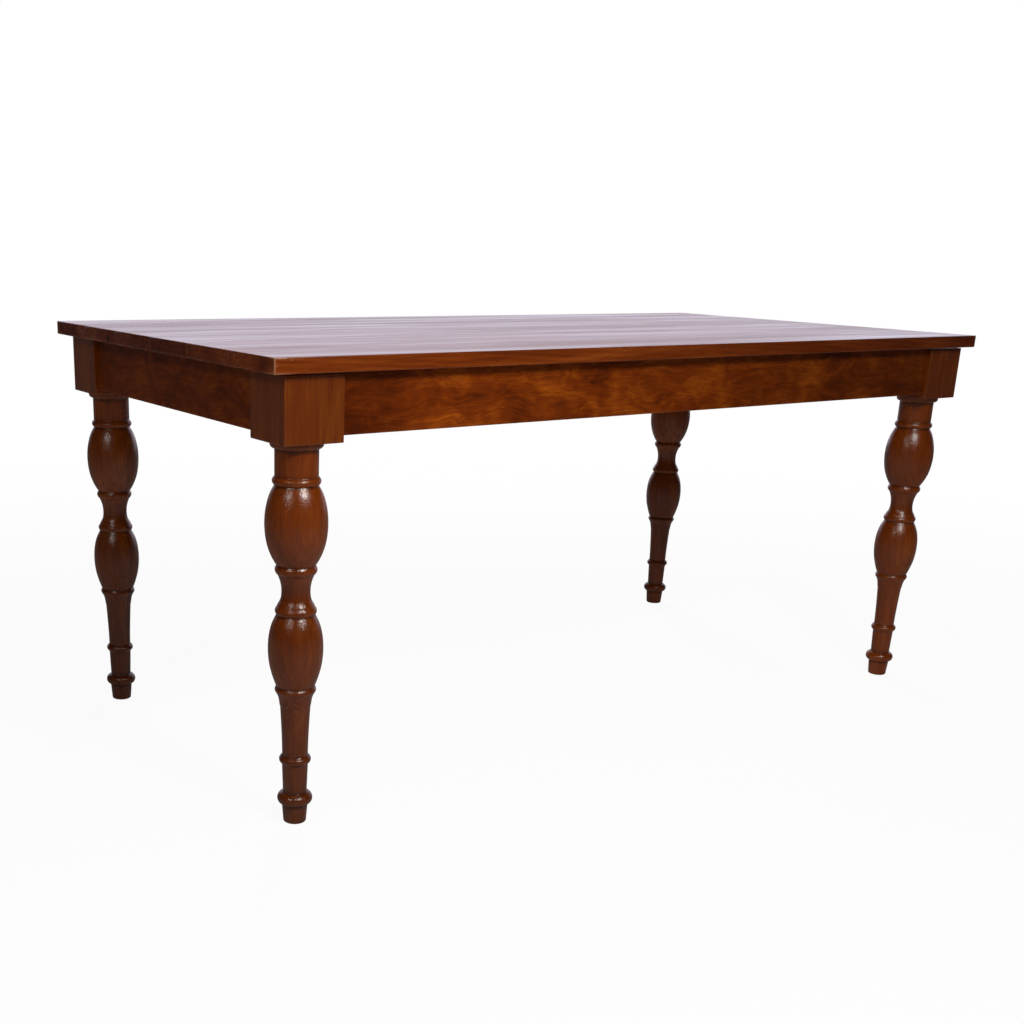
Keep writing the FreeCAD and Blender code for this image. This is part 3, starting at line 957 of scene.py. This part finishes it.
@dataclass
class ApronRails:
    """The four aprons between the blocks, without the tenons that the blocks hide."""

    run: Flat = (LEG_LOW.x, LEG_LOW.y)
    radius: float = 1.1 * MM
    heart_level: float = 0.69
    heart_sides: Flat = (-0.02, 0.02)
    heart_depths: Flat = (0.05, 0.08)
    shifts: tuple[float, ...] = (21.49, 5.3, 14.7, 33.2)
    first_seed: int = 70
    tone: float = 0.47
    front_shade_slope: float = -0.6

    def make(self, finish: Material) -> None:
        """Build the aprons.

        Args:
            finish: The frame's wood.
        """
        for index, name in enumerate(("front", "back", "left", "right")):
            draw = random.Random(self.first_seed + index)
            low, high = (Vector(corner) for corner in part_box("apron_" + name))
            run, across = (0, 1) if name in ("front", "back") else (1, 0)
            low[run], high[run] = -self.run[run], self.run[run]
            outside = low[across] if name in ("front", "left") else high[across]
            along, face, centre = Vector(), Vector(), Vector((0, 0, self.heart_level))
            along[run] = 1
            face[across] = math.copysign(1, outside)
            centre[across] = outside
            block = EasedBlock(rectangle(low, high), low.z, high.z, self.radius)
            # The front apron carries painted shade that darkens it towards the right end, where less light
            # falls
            board = Board(centre, along, face,
                          (draw.uniform(*self.heart_sides), draw.uniform(*self.heart_depths)),
                          self.shifts[index], self.tone, self.front_shade_slope if name == "front" else 0.0)
            title = "apron_board_" + name
            finish_piece(title, block.make(title, board), finish, "apron_" + name)


# Fixings, which Geometry Nodes repeat

@dataclass(frozen=True)
class Spot:
    """Where one fixing sits, in millimetres, and which way it points."""

    place: Place
    way: Place


@dataclass(frozen=True)
class Fixings:
    """One kind of fixing, drawn once along +Z by a tree and set at every spot.

    The spin is how far each may be turned about its own axis.
    """

    node: str
    slot: str
    spots: list[Spot]
    seed: int = 7
    spin: Place = (0.0, 0.0, math.tau)

    def sizes(self) -> dict[str, int | float | Place]:
        """The tree's named inputs: all the number fields, in metres and radians."""
        return {name.replace("_", " ").capitalize(): value for name, value in vars(self).items()
                if type(value) in SOCKETS}

    def shape(self, tree: Tree, size: dict[str, Socket]) -> Node:
        """Draw one fixing at the origin.

        Args:
            tree: The tree to draw it in.
            size: The tree's named inputs.

        Returns:
            The node that gives its closed mesh.
        """
        raise NotImplementedError

    def aim(self, tree: Tree, way: Node) -> Node:
        """Turn +Z to a spot's way."""
        return add(tree, "FunctionNodeAlignRotationToVector", {"Vector": way}, axis="Z")

    def make(self, finish: Material) -> None:
        """Set the fixing at every spot and turn the result into a plain mesh.

        Args:
            finish: Its material.
        """
        tree = bpy.data.node_groups.new(self.node, "GeometryNodeTree")
        face = tree.interface
        face.new_socket(name="Spots", in_out="INPUT", socket_type="NodeSocketGeometry")
        wanted = {}
        for name, value in self.sizes().items():
            socket = face.new_socket(name=name, in_out="INPUT", socket_type=SOCKETS[type(value)])
            wanted[socket.identifier] = value
        face.new_socket(name="Fixings", in_out="OUTPUT", socket_type="NodeSocketGeometry")
        given = {socket.name: socket for socket in add(tree, "NodeGroupInput").outputs}
        one = self.shape(tree, given)
        way = add(tree, "GeometryNodeInputNamedAttribute", {"Name": "way"}, data_type="FLOAT_VECTOR")
        each = add(tree, "GeometryNodeInstanceOnPoints",
                   {"Points": given["Spots"], "Instance": one, "Rotation": self.aim(tree, way)})
        turn = add(tree, "FunctionNodeRandomValue",
                   {0: (0, 0, 0), 1: given["Spin"], "Seed": given["Seed"]}, data_type="FLOAT_VECTOR")
        each = add(tree, "GeometryNodeRotateInstances", {"Instances": each, "Rotation": turn})
        real = add(tree, "GeometryNodeRealizeInstances", {0: each})
        real = add(tree, "GeometryNodeSetMaterial", {"Geometry": real, "Material": finish})
        add(tree, "NodeGroupOutput", {0: real})

        base = bpy.data.meshes.new(self.node + "_spots")
        base.from_pydata([tuple(part * MM for part in spot.place) for spot in self.spots], [], [])
        ways = base.attributes.new("way", "FLOAT_VECTOR", "POINT")
        ways.data.foreach_set("vector", [part for spot in self.spots for part in spot.way])
        carrier = bpy.data.objects.new(self.node + "_spots", base)
        bpy.context.scene.collection.objects.link(carrier)
        modifier = carrier.modifiers.new("fixings", "NODES")
        modifier.node_group = tree
        for identifier, value in wanted.items():
            modifier[identifier] = value
        solid = carrier.evaluated_get(bpy.context.evaluated_depsgraph_get())
        mesh = bpy.data.meshes.new_from_object(solid)
        carrier.modifiers.remove(modifier)
        bpy.data.objects.remove(carrier)
        smooth(mesh, sharp=32)
        finish_piece(self.node + "_set", mesh, finish, self.node)


@dataclass(frozen=True)
class Screws(Fixings):
    """Wood screws with a cross slot: countersunk, or pan-headed where the head stands proud."""

    length: float = 30 * MM
    proud: bool = False
    head_radius: float = 4.2 * MM
    crown_radius: float = 3.192 * MM
    head_height: float = 2.4 * MM
    slot_run: float = 4.41 * MM
    slot_width: float = 1 * MM
    slot_depth: float = 2.64 * MM
    shank_radius: float = 2 * MM
    tip_radius: float = 0.2 * MM
    tip_run: float = 4 * MM

    def sizes(self) -> dict[str, int | float | Place]:
        """Work out the tree's named inputs: a proud head lies below the seat, and a sunk one above.

        Returns:
            The inputs' values by name, in metres.
        """
        seat = -self.head_height if self.proud else 0.0
        start = seat + self.head_height
        run = self.length - self.tip_run - start
        return {"Seed": self.seed, "Spin": self.spin, "Head height": self.head_height,
                "Head low radius": self.crown_radius if self.proud else self.head_radius,
                "Head high radius": self.head_radius if self.proud else self.shank_radius,
                "Slot along X": (self.slot_run, self.slot_width, self.slot_depth),
                "Slot along Y": (self.slot_width, self.slot_run, self.slot_depth),
                "Shank radius": self.shank_radius, "Shank run": run,
                "Tip radius": self.tip_radius, "Tip run": self.tip_run,
                "Head place": (0.0, 0.0, seat), "Shank place": (0.0, 0.0, start),
                "Tip place": (0.0, 0.0, start + run)}

    def shape(self, tree: Tree, size: dict[str, Socket]) -> Node:
        """Draw one screw, point up.

        Args:
            tree: The tree to draw it in.
            size: The tree's named inputs.

        Returns:
            The node that gives its mesh: the slotted head and the shank with its point.
        """
        head = add(tree, CONE, {"Vertices": 32, "Radius Bottom": size["Head low radius"],
                                "Radius Top": size["Head high radius"], "Depth": size["Head height"]})
        head = add(tree, SHIFT, {"Geometry": head, "Translation": size["Head place"]})
        bars = [add(tree, "GeometryNodeMeshCube", {"Size": size["Slot along " + axis]}) for axis in "XY"]
        bars = [add(tree, SHIFT, {"Geometry": bar, "Translation": size["Head place"]}) for bar in bars]
        carved = add(tree, BOOLEAN, {0: head, 1: bars}, **CUT)
        shank = add(tree, CONE, {"Vertices": 20, "Radius Bottom": size["Shank radius"],
                                 "Radius Top": size["Shank radius"], "Depth": size["Shank run"]})
        shank = add(tree, SHIFT, {"Geometry": shank, "Translation": size["Shank place"]})
        tip = add(tree, CONE, {"Vertices": 20, "Radius Bottom": size["Shank radius"],
                               "Radius Top": size["Tip radius"], "Depth": size["Tip run"]})
        tip = add(tree, SHIFT, {"Geometry": tip, "Translation": size["Tip place"]})
        return add(tree, JOIN, {0: [carved, shank, tip]})


@dataclass(frozen=True)
class Washers(Fixings):
    """Flat washers under the nuts."""

    rim_radius: float = 10 * MM
    hole_radius: float = 4.1 * MM
    thickness: float = 1.6 * MM
    middle: Place = (0.0, 0.0, 0.8 * MM)

    def shape(self, tree: Tree, size: dict[str, Socket]) -> Node:
        """Draw one washer with its seat at the origin.

        Args:
            tree: The tree to draw it in.
            size: The tree's named inputs.

        Returns:
            The node that gives its mesh.
        """
        disc = add(tree, CYLINDER,
                   {"Vertices": 40, "Radius": size["Rim radius"], "Depth": size["Thickness"]})
        hole = add(tree, CYLINDER, {"Vertices": 32, "Radius": size["Hole radius"], "Depth": 10 * MM})
        ring = add(tree, BOOLEAN, {0: disc, 1: hole}, **CUT)
        return add(tree, SHIFT, {"Geometry": ring, "Translation": size["Middle"]})


@dataclass(frozen=True)
class HexNuts(Fixings):
    """Hexagon nuts, 13 mm over the flats, under the hood that chamfers their corners at 30 degrees."""

    corner_radius: float = 13 * MM / math.sqrt(3)
    height: float = 6.5 * MM
    hood_high_radius: float = 6.5 * MM
    hood_low_radius: float = 6.5 * MM + 1.73 * 6.5 * MM
    hole_radius: float = 4.1 * MM

    def shape(self, tree: Tree, size: dict[str, Socket]) -> Node:
        """Draw one nut with its seat at the origin.

        Args:
            tree: The tree to draw it in.
            size: The tree's named inputs.

        Returns:
            The node that gives its mesh.
        """
        blank = add(tree, CONE, {"Vertices": 6, "Radius Bottom": size["Corner radius"],
                                 "Radius Top": size["Corner radius"], "Depth": size["Height"]})
        hood = add(tree, CONE, {"Vertices": 48, "Radius Bottom": size["Hood low radius"],
                                "Radius Top": size["Hood high radius"], "Depth": size["Height"]})
        crowned = add(tree, BOOLEAN, {1: [blank, hood]}, operation="INTERSECT", solver="EXACT")
        hole = add(tree, CYLINDER, {"Vertices": 32, "Radius": size["Hole radius"], "Depth": 30 * MM})
        return add(tree, BOOLEAN, {0: crowned, 1: hole}, **CUT)


@dataclass(frozen=True)
class ThreadedRods(Fixings):
    """The hanger bolts: rods with a metric thread of 1.25 mm pitch and 0.6 mm depth.

    The groove is half that depth as a share of the radius.
    """

    radius: float = 4 * MM
    length: float = 89.1 * MM
    turn_rate: float = math.tau / (1.25 * MM)
    groove: Place = (0.075, 0.075, 0.0)

    def shape(self, tree: Tree, size: dict[str, Socket]) -> Node:
        """Draw one rod upwards from the origin, with its surface pushed in along a helix.

        Args:
            tree: The tree to draw it in.
            size: The tree's named inputs.

        Returns:
            The node that gives its mesh.
        """
        rod = add(tree, CONE, {"Vertices": 18, "Side Segments": 286, "Radius Bottom": size["Radius"],
                               "Radius Top": size["Radius"], "Depth": size["Length"]})
        place = add(tree, "GeometryNodeInputPosition")
        part = add(tree, SPLIT, {0: place}).outputs
        angle = add(tree, MATH, {0: part["Y"], 1: part["X"]}, operation="ARCTAN2")
        climb = add(tree, MATH, {0: part["Z"], 1: size["Turn rate"]}, operation="MULTIPLY")
        phase = add(tree, MATH, {0: climb, 1: angle}, operation="SUBTRACT")
        wave = add(tree, MATH, {0: phase}, operation="SINE")
        dip = add(tree, MATH, {0: wave, 1: 1.0}, operation="SUBTRACT")
        inward = add(tree, VECTORS, {0: place, 1: size["Groove"]}, operation="MULTIPLY")
        push = add(tree, VECTORS, {0: inward, "Scale": dip}, operation="SCALE")
        return add(tree, "GeometryNodeSetPosition", {"Geometry": rod, "Offset": push})


@dataclass(frozen=True)
class Buttons(Fixings):
    """Wooden buttons: an eased block under the top with a tongue in the apron's groove.

    They all sit square to their apron, so they have no spin. The tongue's root lies in the block.
    """

    spin: Place = (0.0, 0.0, 0.0)
    block_size: Place = (32 * MM, 20 * MM, 26 * MM)
    block_place: Place = (0.0, 10 * MM, -13 * MM)
    block_ease: float = 1.2 * MM
    tongue_size: Place = (32 * MM, 6.5 * MM, 11.6 * MM)
    tongue_place: Place = (0.0, 5.75 * MM, 2.2 * MM)
    tongue_ease: float = 0.48 * MM
    head_radius: float = 4.25 * MM
    head_height: float = 2.4 * MM
    hole_radius: float = 2.05 * MM
    bore_place: Place = (0.0, -0.02 * MM, -13 * MM)

    def aim(self, tree: Tree, way: Node) -> Node:
        """Turn +Z to a spot's way, and then +Y upwards."""
        return add(tree, "FunctionNodeAlignRotationToVector",
                   {"Rotation": super().aim(tree, way), "Vector": (0, 0, 1)}, axis="Y", pivot_axis="Z")

    def eased(self, tree: Tree, size: dict[str, Socket], part: str) -> Node:
        """A box with its edges planed off: the hull of three boxes that are each shorter in two ways.

        Args:
            tree: The tree to draw it in.
            size: The tree's named inputs.
            part: Which part's inputs to use.

        Returns:
            The node that gives its mesh.
        """
        boxes = []
        for trim in ((0, -2, -2), (-2, 0, -2), (-2, -2, 0)):
            edges = add(tree, VECTORS, {0: trim, 1: size[part + " ease"], 2: size[part + " size"]},
                        operation="MULTIPLY_ADD")
            boxes.append(add(tree, "GeometryNodeMeshCube", {"Size": edges}))
        hull = add(tree, "GeometryNodeConvexHull", {0: add(tree, JOIN, {0: boxes})})
        return add(tree, SHIFT, {"Geometry": hull, "Translation": size[part + " place"]})

    def shape(self, tree: Tree, size: dict[str, Socket]) -> Node:
        """Draw one button with its tongue towards +Z and the top towards +Y.

        Args:
            tree: The tree to draw it in.
            size: The tree's named inputs.

        Returns:
            The node that gives its mesh.
        """
        sunk = add(tree, CONE, {"Vertices": 32, "Radius Bottom": size["Head radius"],
                                "Radius Top": size["Hole radius"], "Depth": size["Head height"]})
        bore = add(tree, CONE, {"Vertices": 32, "Radius Bottom": size["Hole radius"],
                                "Radius Top": size["Hole radius"], "Depth": 40 * MM})
        tools = [add(tree, SHIFT, {"Geometry": tool, "Rotation": (-math.pi / 2, 0, 0),
                                   "Translation": size["Bore place"]}) for tool in (sunk, bore)]
        block = add(tree, BOOLEAN, {0: self.eased(tree, size, "Block"), 1: tools}, **CUT)
        return add(tree, JOIN, {0: [block, self.eased(tree, size, "Tongue")]})


@dataclass(frozen=True)
class FixingPlan:
    """Where the fixings sit, as in the CAD model, in millimetres from the table's middle and the floor.

    A pair of places is one along X and one along Y.
    """

    brace_levels: Flat = (666.0, 700.0)
    brace_in_long_apron: Flat = (648.96, 362.4)
    brace_in_short_apron: Flat = (786.4, 224.96)
    bolt_level: float = 683.0
    bolt_end: Flat = (768.82, 344.82)
    washer_seat: Flat = (715.08, 291.08)
    nut_seat: Flat = (713.95, 289.95)
    bearer_level: float = 711.0
    bearers: Flat = (-300.0, 300.0)
    first_plank: float = -350.0
    plank_width: float = 140.0
    planks: int = 6
    button_level: float = 716.0
    long_buttons: tuple[float, ...] = (-560.0, 0.0, 560.0)
    short_buttons: Flat = (-70.0, 70.0)
    screw_rows: Flat = (788.0, 364.0)
    apron_faces: Flat = (801.0, 377.0)

    def kinds(self) -> list[Fixings]:
        """All the fixings of the table.

        Returns:
            Each kind with its spots.
        """
        braces, rods, washers, nuts = [], [], [], []
        for corner in Corner:
            side_x, side_y = corner.value
            for level in self.brace_levels:
                braces.append(Spot(corner.place(self.brace_in_long_apron, level), (0, side_y, 0)))
                braces.append(Spot(corner.place(self.brace_in_short_apron, level), (side_x, 0, 0)))
            for spots, seat in ((rods, self.bolt_end), (washers, self.washer_seat), (nuts, self.nut_seat)):
                spots.append(Spot(corner.place(seat, self.bolt_level), (-side_x, -side_y, 0)))
        up = (0, 0, 1)
        rows = [self.first_plank + self.plank_width * plank for plank in range(self.planks)]
        bearers = [Spot((x, y, self.bearer_level), up) for x in self.bearers for y in rows]
        buttons, screws = [], []
        for x in self.long_buttons:
            for side in (-1, 1):
                screws.append(Spot((x, side * self.screw_rows[1], self.button_level), up))
                buttons.append(Spot((x, side * self.apron_faces[1], self.button_level), (0, side, 0)))
        for side in (-1, 1):
            for y in self.short_buttons:
                screws.append(Spot((side * self.screw_rows[0], y, self.button_level), up))
                buttons.append(Spot((side * self.apron_faces[0], y, self.button_level), (side, 0, 0)))
        return [Buttons("top_buttons", "raw_wood", buttons),
                Screws("brace_screws", "zinc_steel", braces, length=28.6 * MM),
                Screws("bearer_screws", "zinc_steel", bearers, length=39 * MM, proud=True),
                Screws("button_screws", "zinc_steel", screws, length=34 * MM),
                ThreadedRods("hanger_bolts", "zinc_steel", rods),
                Washers("bolt_washers", "zinc_steel", washers),
                HexNuts("bolt_nuts", "zinc_steel", nuts)]


# The studio

@dataclass(frozen=True)
class Lamp:
    """One soft lamp: where it hangs, what it faces, its round face's width and its watts."""

    name: str
    place: Place
    target: Place
    width: float
    watts: float
    in_gloss: bool = True
    colour: str = "#FFFBF6"

    def hang(self) -> None:
        """Put the lamp into the scene."""
        data = bpy.data.lights.new(self.name, "AREA")
        data.shape = "DISK"
        data.size = self.width
        data.energy = self.watts
        data.color = srgb(self.colour)[:3]
        lamp = bpy.data.objects.new(self.name, data)
        lamp.location = self.place
        lamp.visible_glossy = self.in_gloss
        lamp.rotation_euler = (Vector(self.target) - Vector(self.place)).to_track_quat("-Z", "Y").to_euler()
        bpy.context.scene.collection.objects.link(lamp)


@dataclass
class Studio:
    """Plain pale floor, soft lamps and the camera at the photograph's angle.

    Two lamps hang before the table, left and right of the camera, and a fill hangs behind it.
    """

    camera_place: Place = (-1.7957, -2.0643, 0.9221)
    yaw: float = 0.5994
    pitch: float = 0.3086
    roll: float = 0.0249
    focal_pixels: float = 1305.16
    optical_centre: Flat = (373.53, 656.43)
    picture: float = 1024.0
    floor_radius: float = 9.0
    floor_glow_in_gloss: float = 0.05
    floor_white_in_gloss: float = 0.75
    wall_way: Place = (0.643, 0.766, 0.0)
    lamps: tuple[Lamp, ...] = (
        Lamp("lamp_right", (-0.48, -2.00, 1.95), (-0.70, -0.35, 0.60), 0.62, 38),
        Lamp("lamp_left", (-2.62, -1.15, 1.95), (-0.75, -0.25, 0.60), 0.46, 12),
        Lamp("lamp_back", (1.7, 2.6, 1.7), (0.3, 0.3, 0.55), 0.9, 44, in_gloss=False))

    def camera(self) -> None:
        """Set the camera up as the photograph's was."""
        data = bpy.data.cameras.new("camera")
        data.sensor_width = 36.0
        data.lens = self.focal_pixels * data.sensor_width / self.picture
        data.shift_x = 0.5 - self.optical_centre[0] / self.picture
        data.shift_y = self.optical_centre[1] / self.picture - 0.5
        data.clip_start = 0.05
        ahead = Vector((math.sin(self.yaw) * math.cos(self.pitch),
                        math.cos(self.yaw) * math.cos(self.pitch), -math.sin(self.pitch)))
        right = Vector((math.cos(self.yaw), -math.sin(self.yaw), 0))
        above = right.cross(ahead)
        across = right * math.cos(self.roll) + above * math.sin(self.roll)
        upright = above * math.cos(self.roll) - right * math.sin(self.roll)
        camera = bpy.data.objects.new("camera", data)
        camera.matrix_world = Matrix.Translation(self.camera_place) @ Matrix(
            (across, upright, -ahead)).transposed().to_4x4()
        bpy.context.scene.collection.objects.link(camera)
        bpy.context.scene.camera = camera

    def surroundings(self) -> None:
        """A white world for the camera, and a bright wall and a dim room for glossy wood."""
        world = bpy.data.worlds.new("studio")
        world.use_nodes = True
        tree = world.node_tree
        tree.nodes.clear()
        rays = add(tree, "ShaderNodeLightPath").outputs
        seen = add(tree, MATH, {0: rays["Is Camera Ray"], 1: rays["Is Transmission Ray"]},
                   operation="MAXIMUM")

        # Glossy wood meets a bright wall on the far side of the table and a dim studio on the near one
        way = add(tree, "ShaderNodeTexCoord").outputs["Generated"]
        ahead = add(tree, VECTORS, {0: way, 1: self.wall_way}, operation="DOT_PRODUCT")
        wall = add(tree, RANGE, {"Value": ahead, "From Min": 0.55, "From Max": 0.88,
                                 "To Min": 0.03, "To Max": 1.13}, **SMOOTH)
        level = add(tree, SPLIT, {0: way}).outputs["Z"]
        fall = add(tree, RANGE, {"Value": level, "From Max": 0.45, "To Min": 1.12, "To Max": 0.6})
        wall = add(tree, MATH, {0: wall, 1: fall}, operation="MULTIPLY")
        room = add(tree, "ShaderNodeBackground", {"Color": srgb("#F6F4F6"), "Strength": 0.10})
        gloss = add(tree, "ShaderNodeBackground", {"Color": srgb("#F6EEFF"), "Strength": wall})
        white = add(tree, "ShaderNodeBackground", {"Color": (1, 1, 1, 1), "Strength": 1.0})
        mixed = add(tree, "ShaderNodeMixShader", {0: rays["Is Glossy Ray"], 1: room, 2: gloss})
        mixed = add(tree, "ShaderNodeMixShader", {0: seen, 1: mixed, 2: white})
        add(tree, "ShaderNodeOutputWorld", {"Surface": mixed})
        bpy.context.scene.world = world

    def floor(self) -> None:
        """The pale floor, which keeps the table's shadow and fades to white far off."""
        material, tree = blank_material("white_painted_floor")
        rays = add(tree, "ShaderNodeLightPath").outputs
        seen, direct = (add(tree, MATH, {0: rays["Is Glossy Ray"], 1: share, 2: rays["Is Camera Ray"]},
                            operation="MULTIPLY_ADD")
                        for share in (self.floor_glow_in_gloss, self.floor_white_in_gloss))
        place = add(tree, "ShaderNodeTexCoord").outputs["Object"]
        far = add(tree, VECTORS, {0: place}, operation="LENGTH")
        paint = add(tree, NOISE, {"Vector": place, "Scale": 3.0, "Detail": 3.0})
        pale = add(tree, MIX, {0: paint, 6: srgb("#EFEEF0"), 7: srgb("#F6F5F6")}, **COVER)
        matt = add(tree, "ShaderNodeBsdfDiffuse", {"Color": pale})
        glow = add(tree, "ShaderNodeEmission", {"Color": (1, 1, 1, 1), "Strength": seen})
        share = add(tree, RANGE, {"Value": far, "From Min": 0.9, "From Max": 3.6, "To Min": 0.94}, **SMOOTH)
        share = add(tree, MATH, {0: share, 1: direct}, operation="MULTIPLY")
        mixed = add(tree, "ShaderNodeMixShader", {0: share, 1: matt, 2: glow})
        add(tree, "ShaderNodeOutputMaterial", {"Surface": mixed})
        form = bmesh.new()
        bmesh.ops.create_circle(form, cap_ends=True, radius=self.floor_radius, segments=64)
        mesh = stored(form, "studio_floor")
        mesh.materials.append(material)
        floor = bpy.data.objects.new("studio_floor", mesh)
        bpy.context.scene.collection.objects.link(floor)

    def make(self) -> None:
        """Set up the whole studio."""
        bpy.context.scene.view_settings.view_transform = "Standard"
        self.camera()
        for lamp in self.lamps:
            lamp.hang()
        self.surroundings()
        self.floor()


# The table's own finishes

# Each leg's tone, the painted shade that changes it up the leg, and its block's tone; the tones carry
# painted shade too, which darkens the back-left leg and the front-right block
LEG_TONES_AND_SHADES = {Corner.FRONT_LEFT: (0.56, 1.1, 0.48), Corner.FRONT_RIGHT: (0.58, -0.45, 0.26),
             Corner.BACK_LEFT: (0.35, 1.0, 0.50), Corner.BACK_RIGHT: (0.60, 0.6, 0.45)}
FIRST_LEG_SEED = 10

LEG_WOOD = StainedWood(
    "stained_leg_wood", dark="#341302", middle="#602802", light="#8A4705", stave_seam=-8 * MM,
    blotches=1.0, fibres=0.4, rings=0.06, swirl=8 * MM, blotch_stretch=0.2, fibre_width=2.5 * MM,
    reflection=0.55, roughness=0.24, peel=0.5, peel_size=2.6 * MM, wear=0.05,
    scuffs=(SurfacePatch((-0.790, -0.375, 0.20), 30 * MM, 0.3, 0.4, (1.0, 1.0, 0.6)),
            SurfacePatch((-0.792, -0.378, 0.118), 24 * MM, 0.5, 0.6),
            SurfacePatch((-0.795, -0.383, 0.055), 28 * MM, 0.5, 0.6),
            SurfacePatch((0.757, -0.371, 0.118), 24 * MM, 0.4, 0.6),
            SurfacePatch((0.757, -0.375, 0.055), 28 * MM, 0.4, 0.6)))

# End grain soaks up more stain than the faces, so a darker patch covers each end of the top
TOP_WOOD = StainedWood(
    "stained_top_wood", middle="#662904", blotch_stretch=0.07, blotch_size=30 * MM, swirl=14 * MM,
    blotches=2.0, fibres=0.7, reflection=0.4, reflection_drift=0.3, roughness=0.22,
    roughness_drift=0.10, peel=0.01, ripple=0.19, wear=0.1,
    shades=tuple(SurfacePatch((end, 0.0, 0.748), 30 * MM, -0.15, 1.0, (20.0, 0.05, 0.05))
                 for end in (-0.855, 0.855)),
    knots=(SurfacePatch((-0.449, -0.42, 0.744), 2.0 * MM, soft=0.3), SurfacePatch((-0.855, 0.174, 0.745), 8.0 * MM)),
    scuffs=(SurfacePatch((-0.855, -0.42, 0.748), 40 * MM, 0.45, 0.7),))

APRON_WOOD = StainedWood(
    "stained_apron_wood", dark="#331003", middle="#642803", light="#8E4607", blotch_size=38 * MM,
    blotch_stretch=0.6, blotches=1.6, swirl=60 * MM, fibres=0.9, fibre_width=2.2 * MM, reflection=0.10,
    # Painted shade: a dark patch at the left end of the front apron, beside the front-left block
    shades=(SurfacePatch((-0.70, -0.399, 0.69), 130 * MM, 0.5, 0.9, (1.0, 1.0, 0.3)),),
    knots=(SurfacePatch((-0.221, -0.399, 0.701), 11 * MM, 0.3, squeeze=(2.0, 1.0, 1.0)),))


def dress_node(name: str, material: Material) -> None:
    """Give a CAD node that stays its finish.

    Args:
        name: The node.
        material: Its finish.
    """
    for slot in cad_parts[name].material_slots:
        slot.material = material
    LOG.info("%s keeps its CAD shape", name)


def main() -> None:
    """Build the studio and the table, piece by piece."""
    logging.basicConfig(level=logging.INFO, format="%(message)s")
    Studio().make()
    leg_wood, top_wood, apron_wood = LEG_WOOD.make(), TOP_WOOD.make(), APRON_WOOD.make()
    for index, (corner, (tone, shade_slope, block)) in enumerate(LEG_TONES_AND_SHADES.items()):
        leg = TurnedLeg(corner, tone=tone, painted_shade_slope=shade_slope, block_tone_and_shade=block)
        leg.make(leg_wood, FIRST_LEG_SEED + index)
    PlankTop().make(top_wood)
    ApronRails().make(apron_wood)
    across = PlainSawnWood("planed_wood_across").make()
    lengthwise = PlainSawnWood("planed_wood_lengthwise", (1, 0, 0)).make()
    rising = PlainSawnWood("planed_wood_rising", (1, 1, 0)).make()
    falling = PlainSawnWood("planed_wood_falling", (1, -1, 0)).make()
    for name in ("top_bearer_left", "top_bearer_right"):
        dress_node(name, across)
    dress_node("loose_tongues", lengthwise)
    for corner in Corner:
        same = corner.value[0] == corner.value[1]
        dress_node("corner_brace_" + corner.label, falling if same else rising)
    zinc = ZincPlatedSteel("zinc_plated_steel").make()
    for kind in FixingPlan().kinds():
        kind.make(across if kind.slot == "raw_wood" else zinc)


if __name__ == "__main__":
    main()
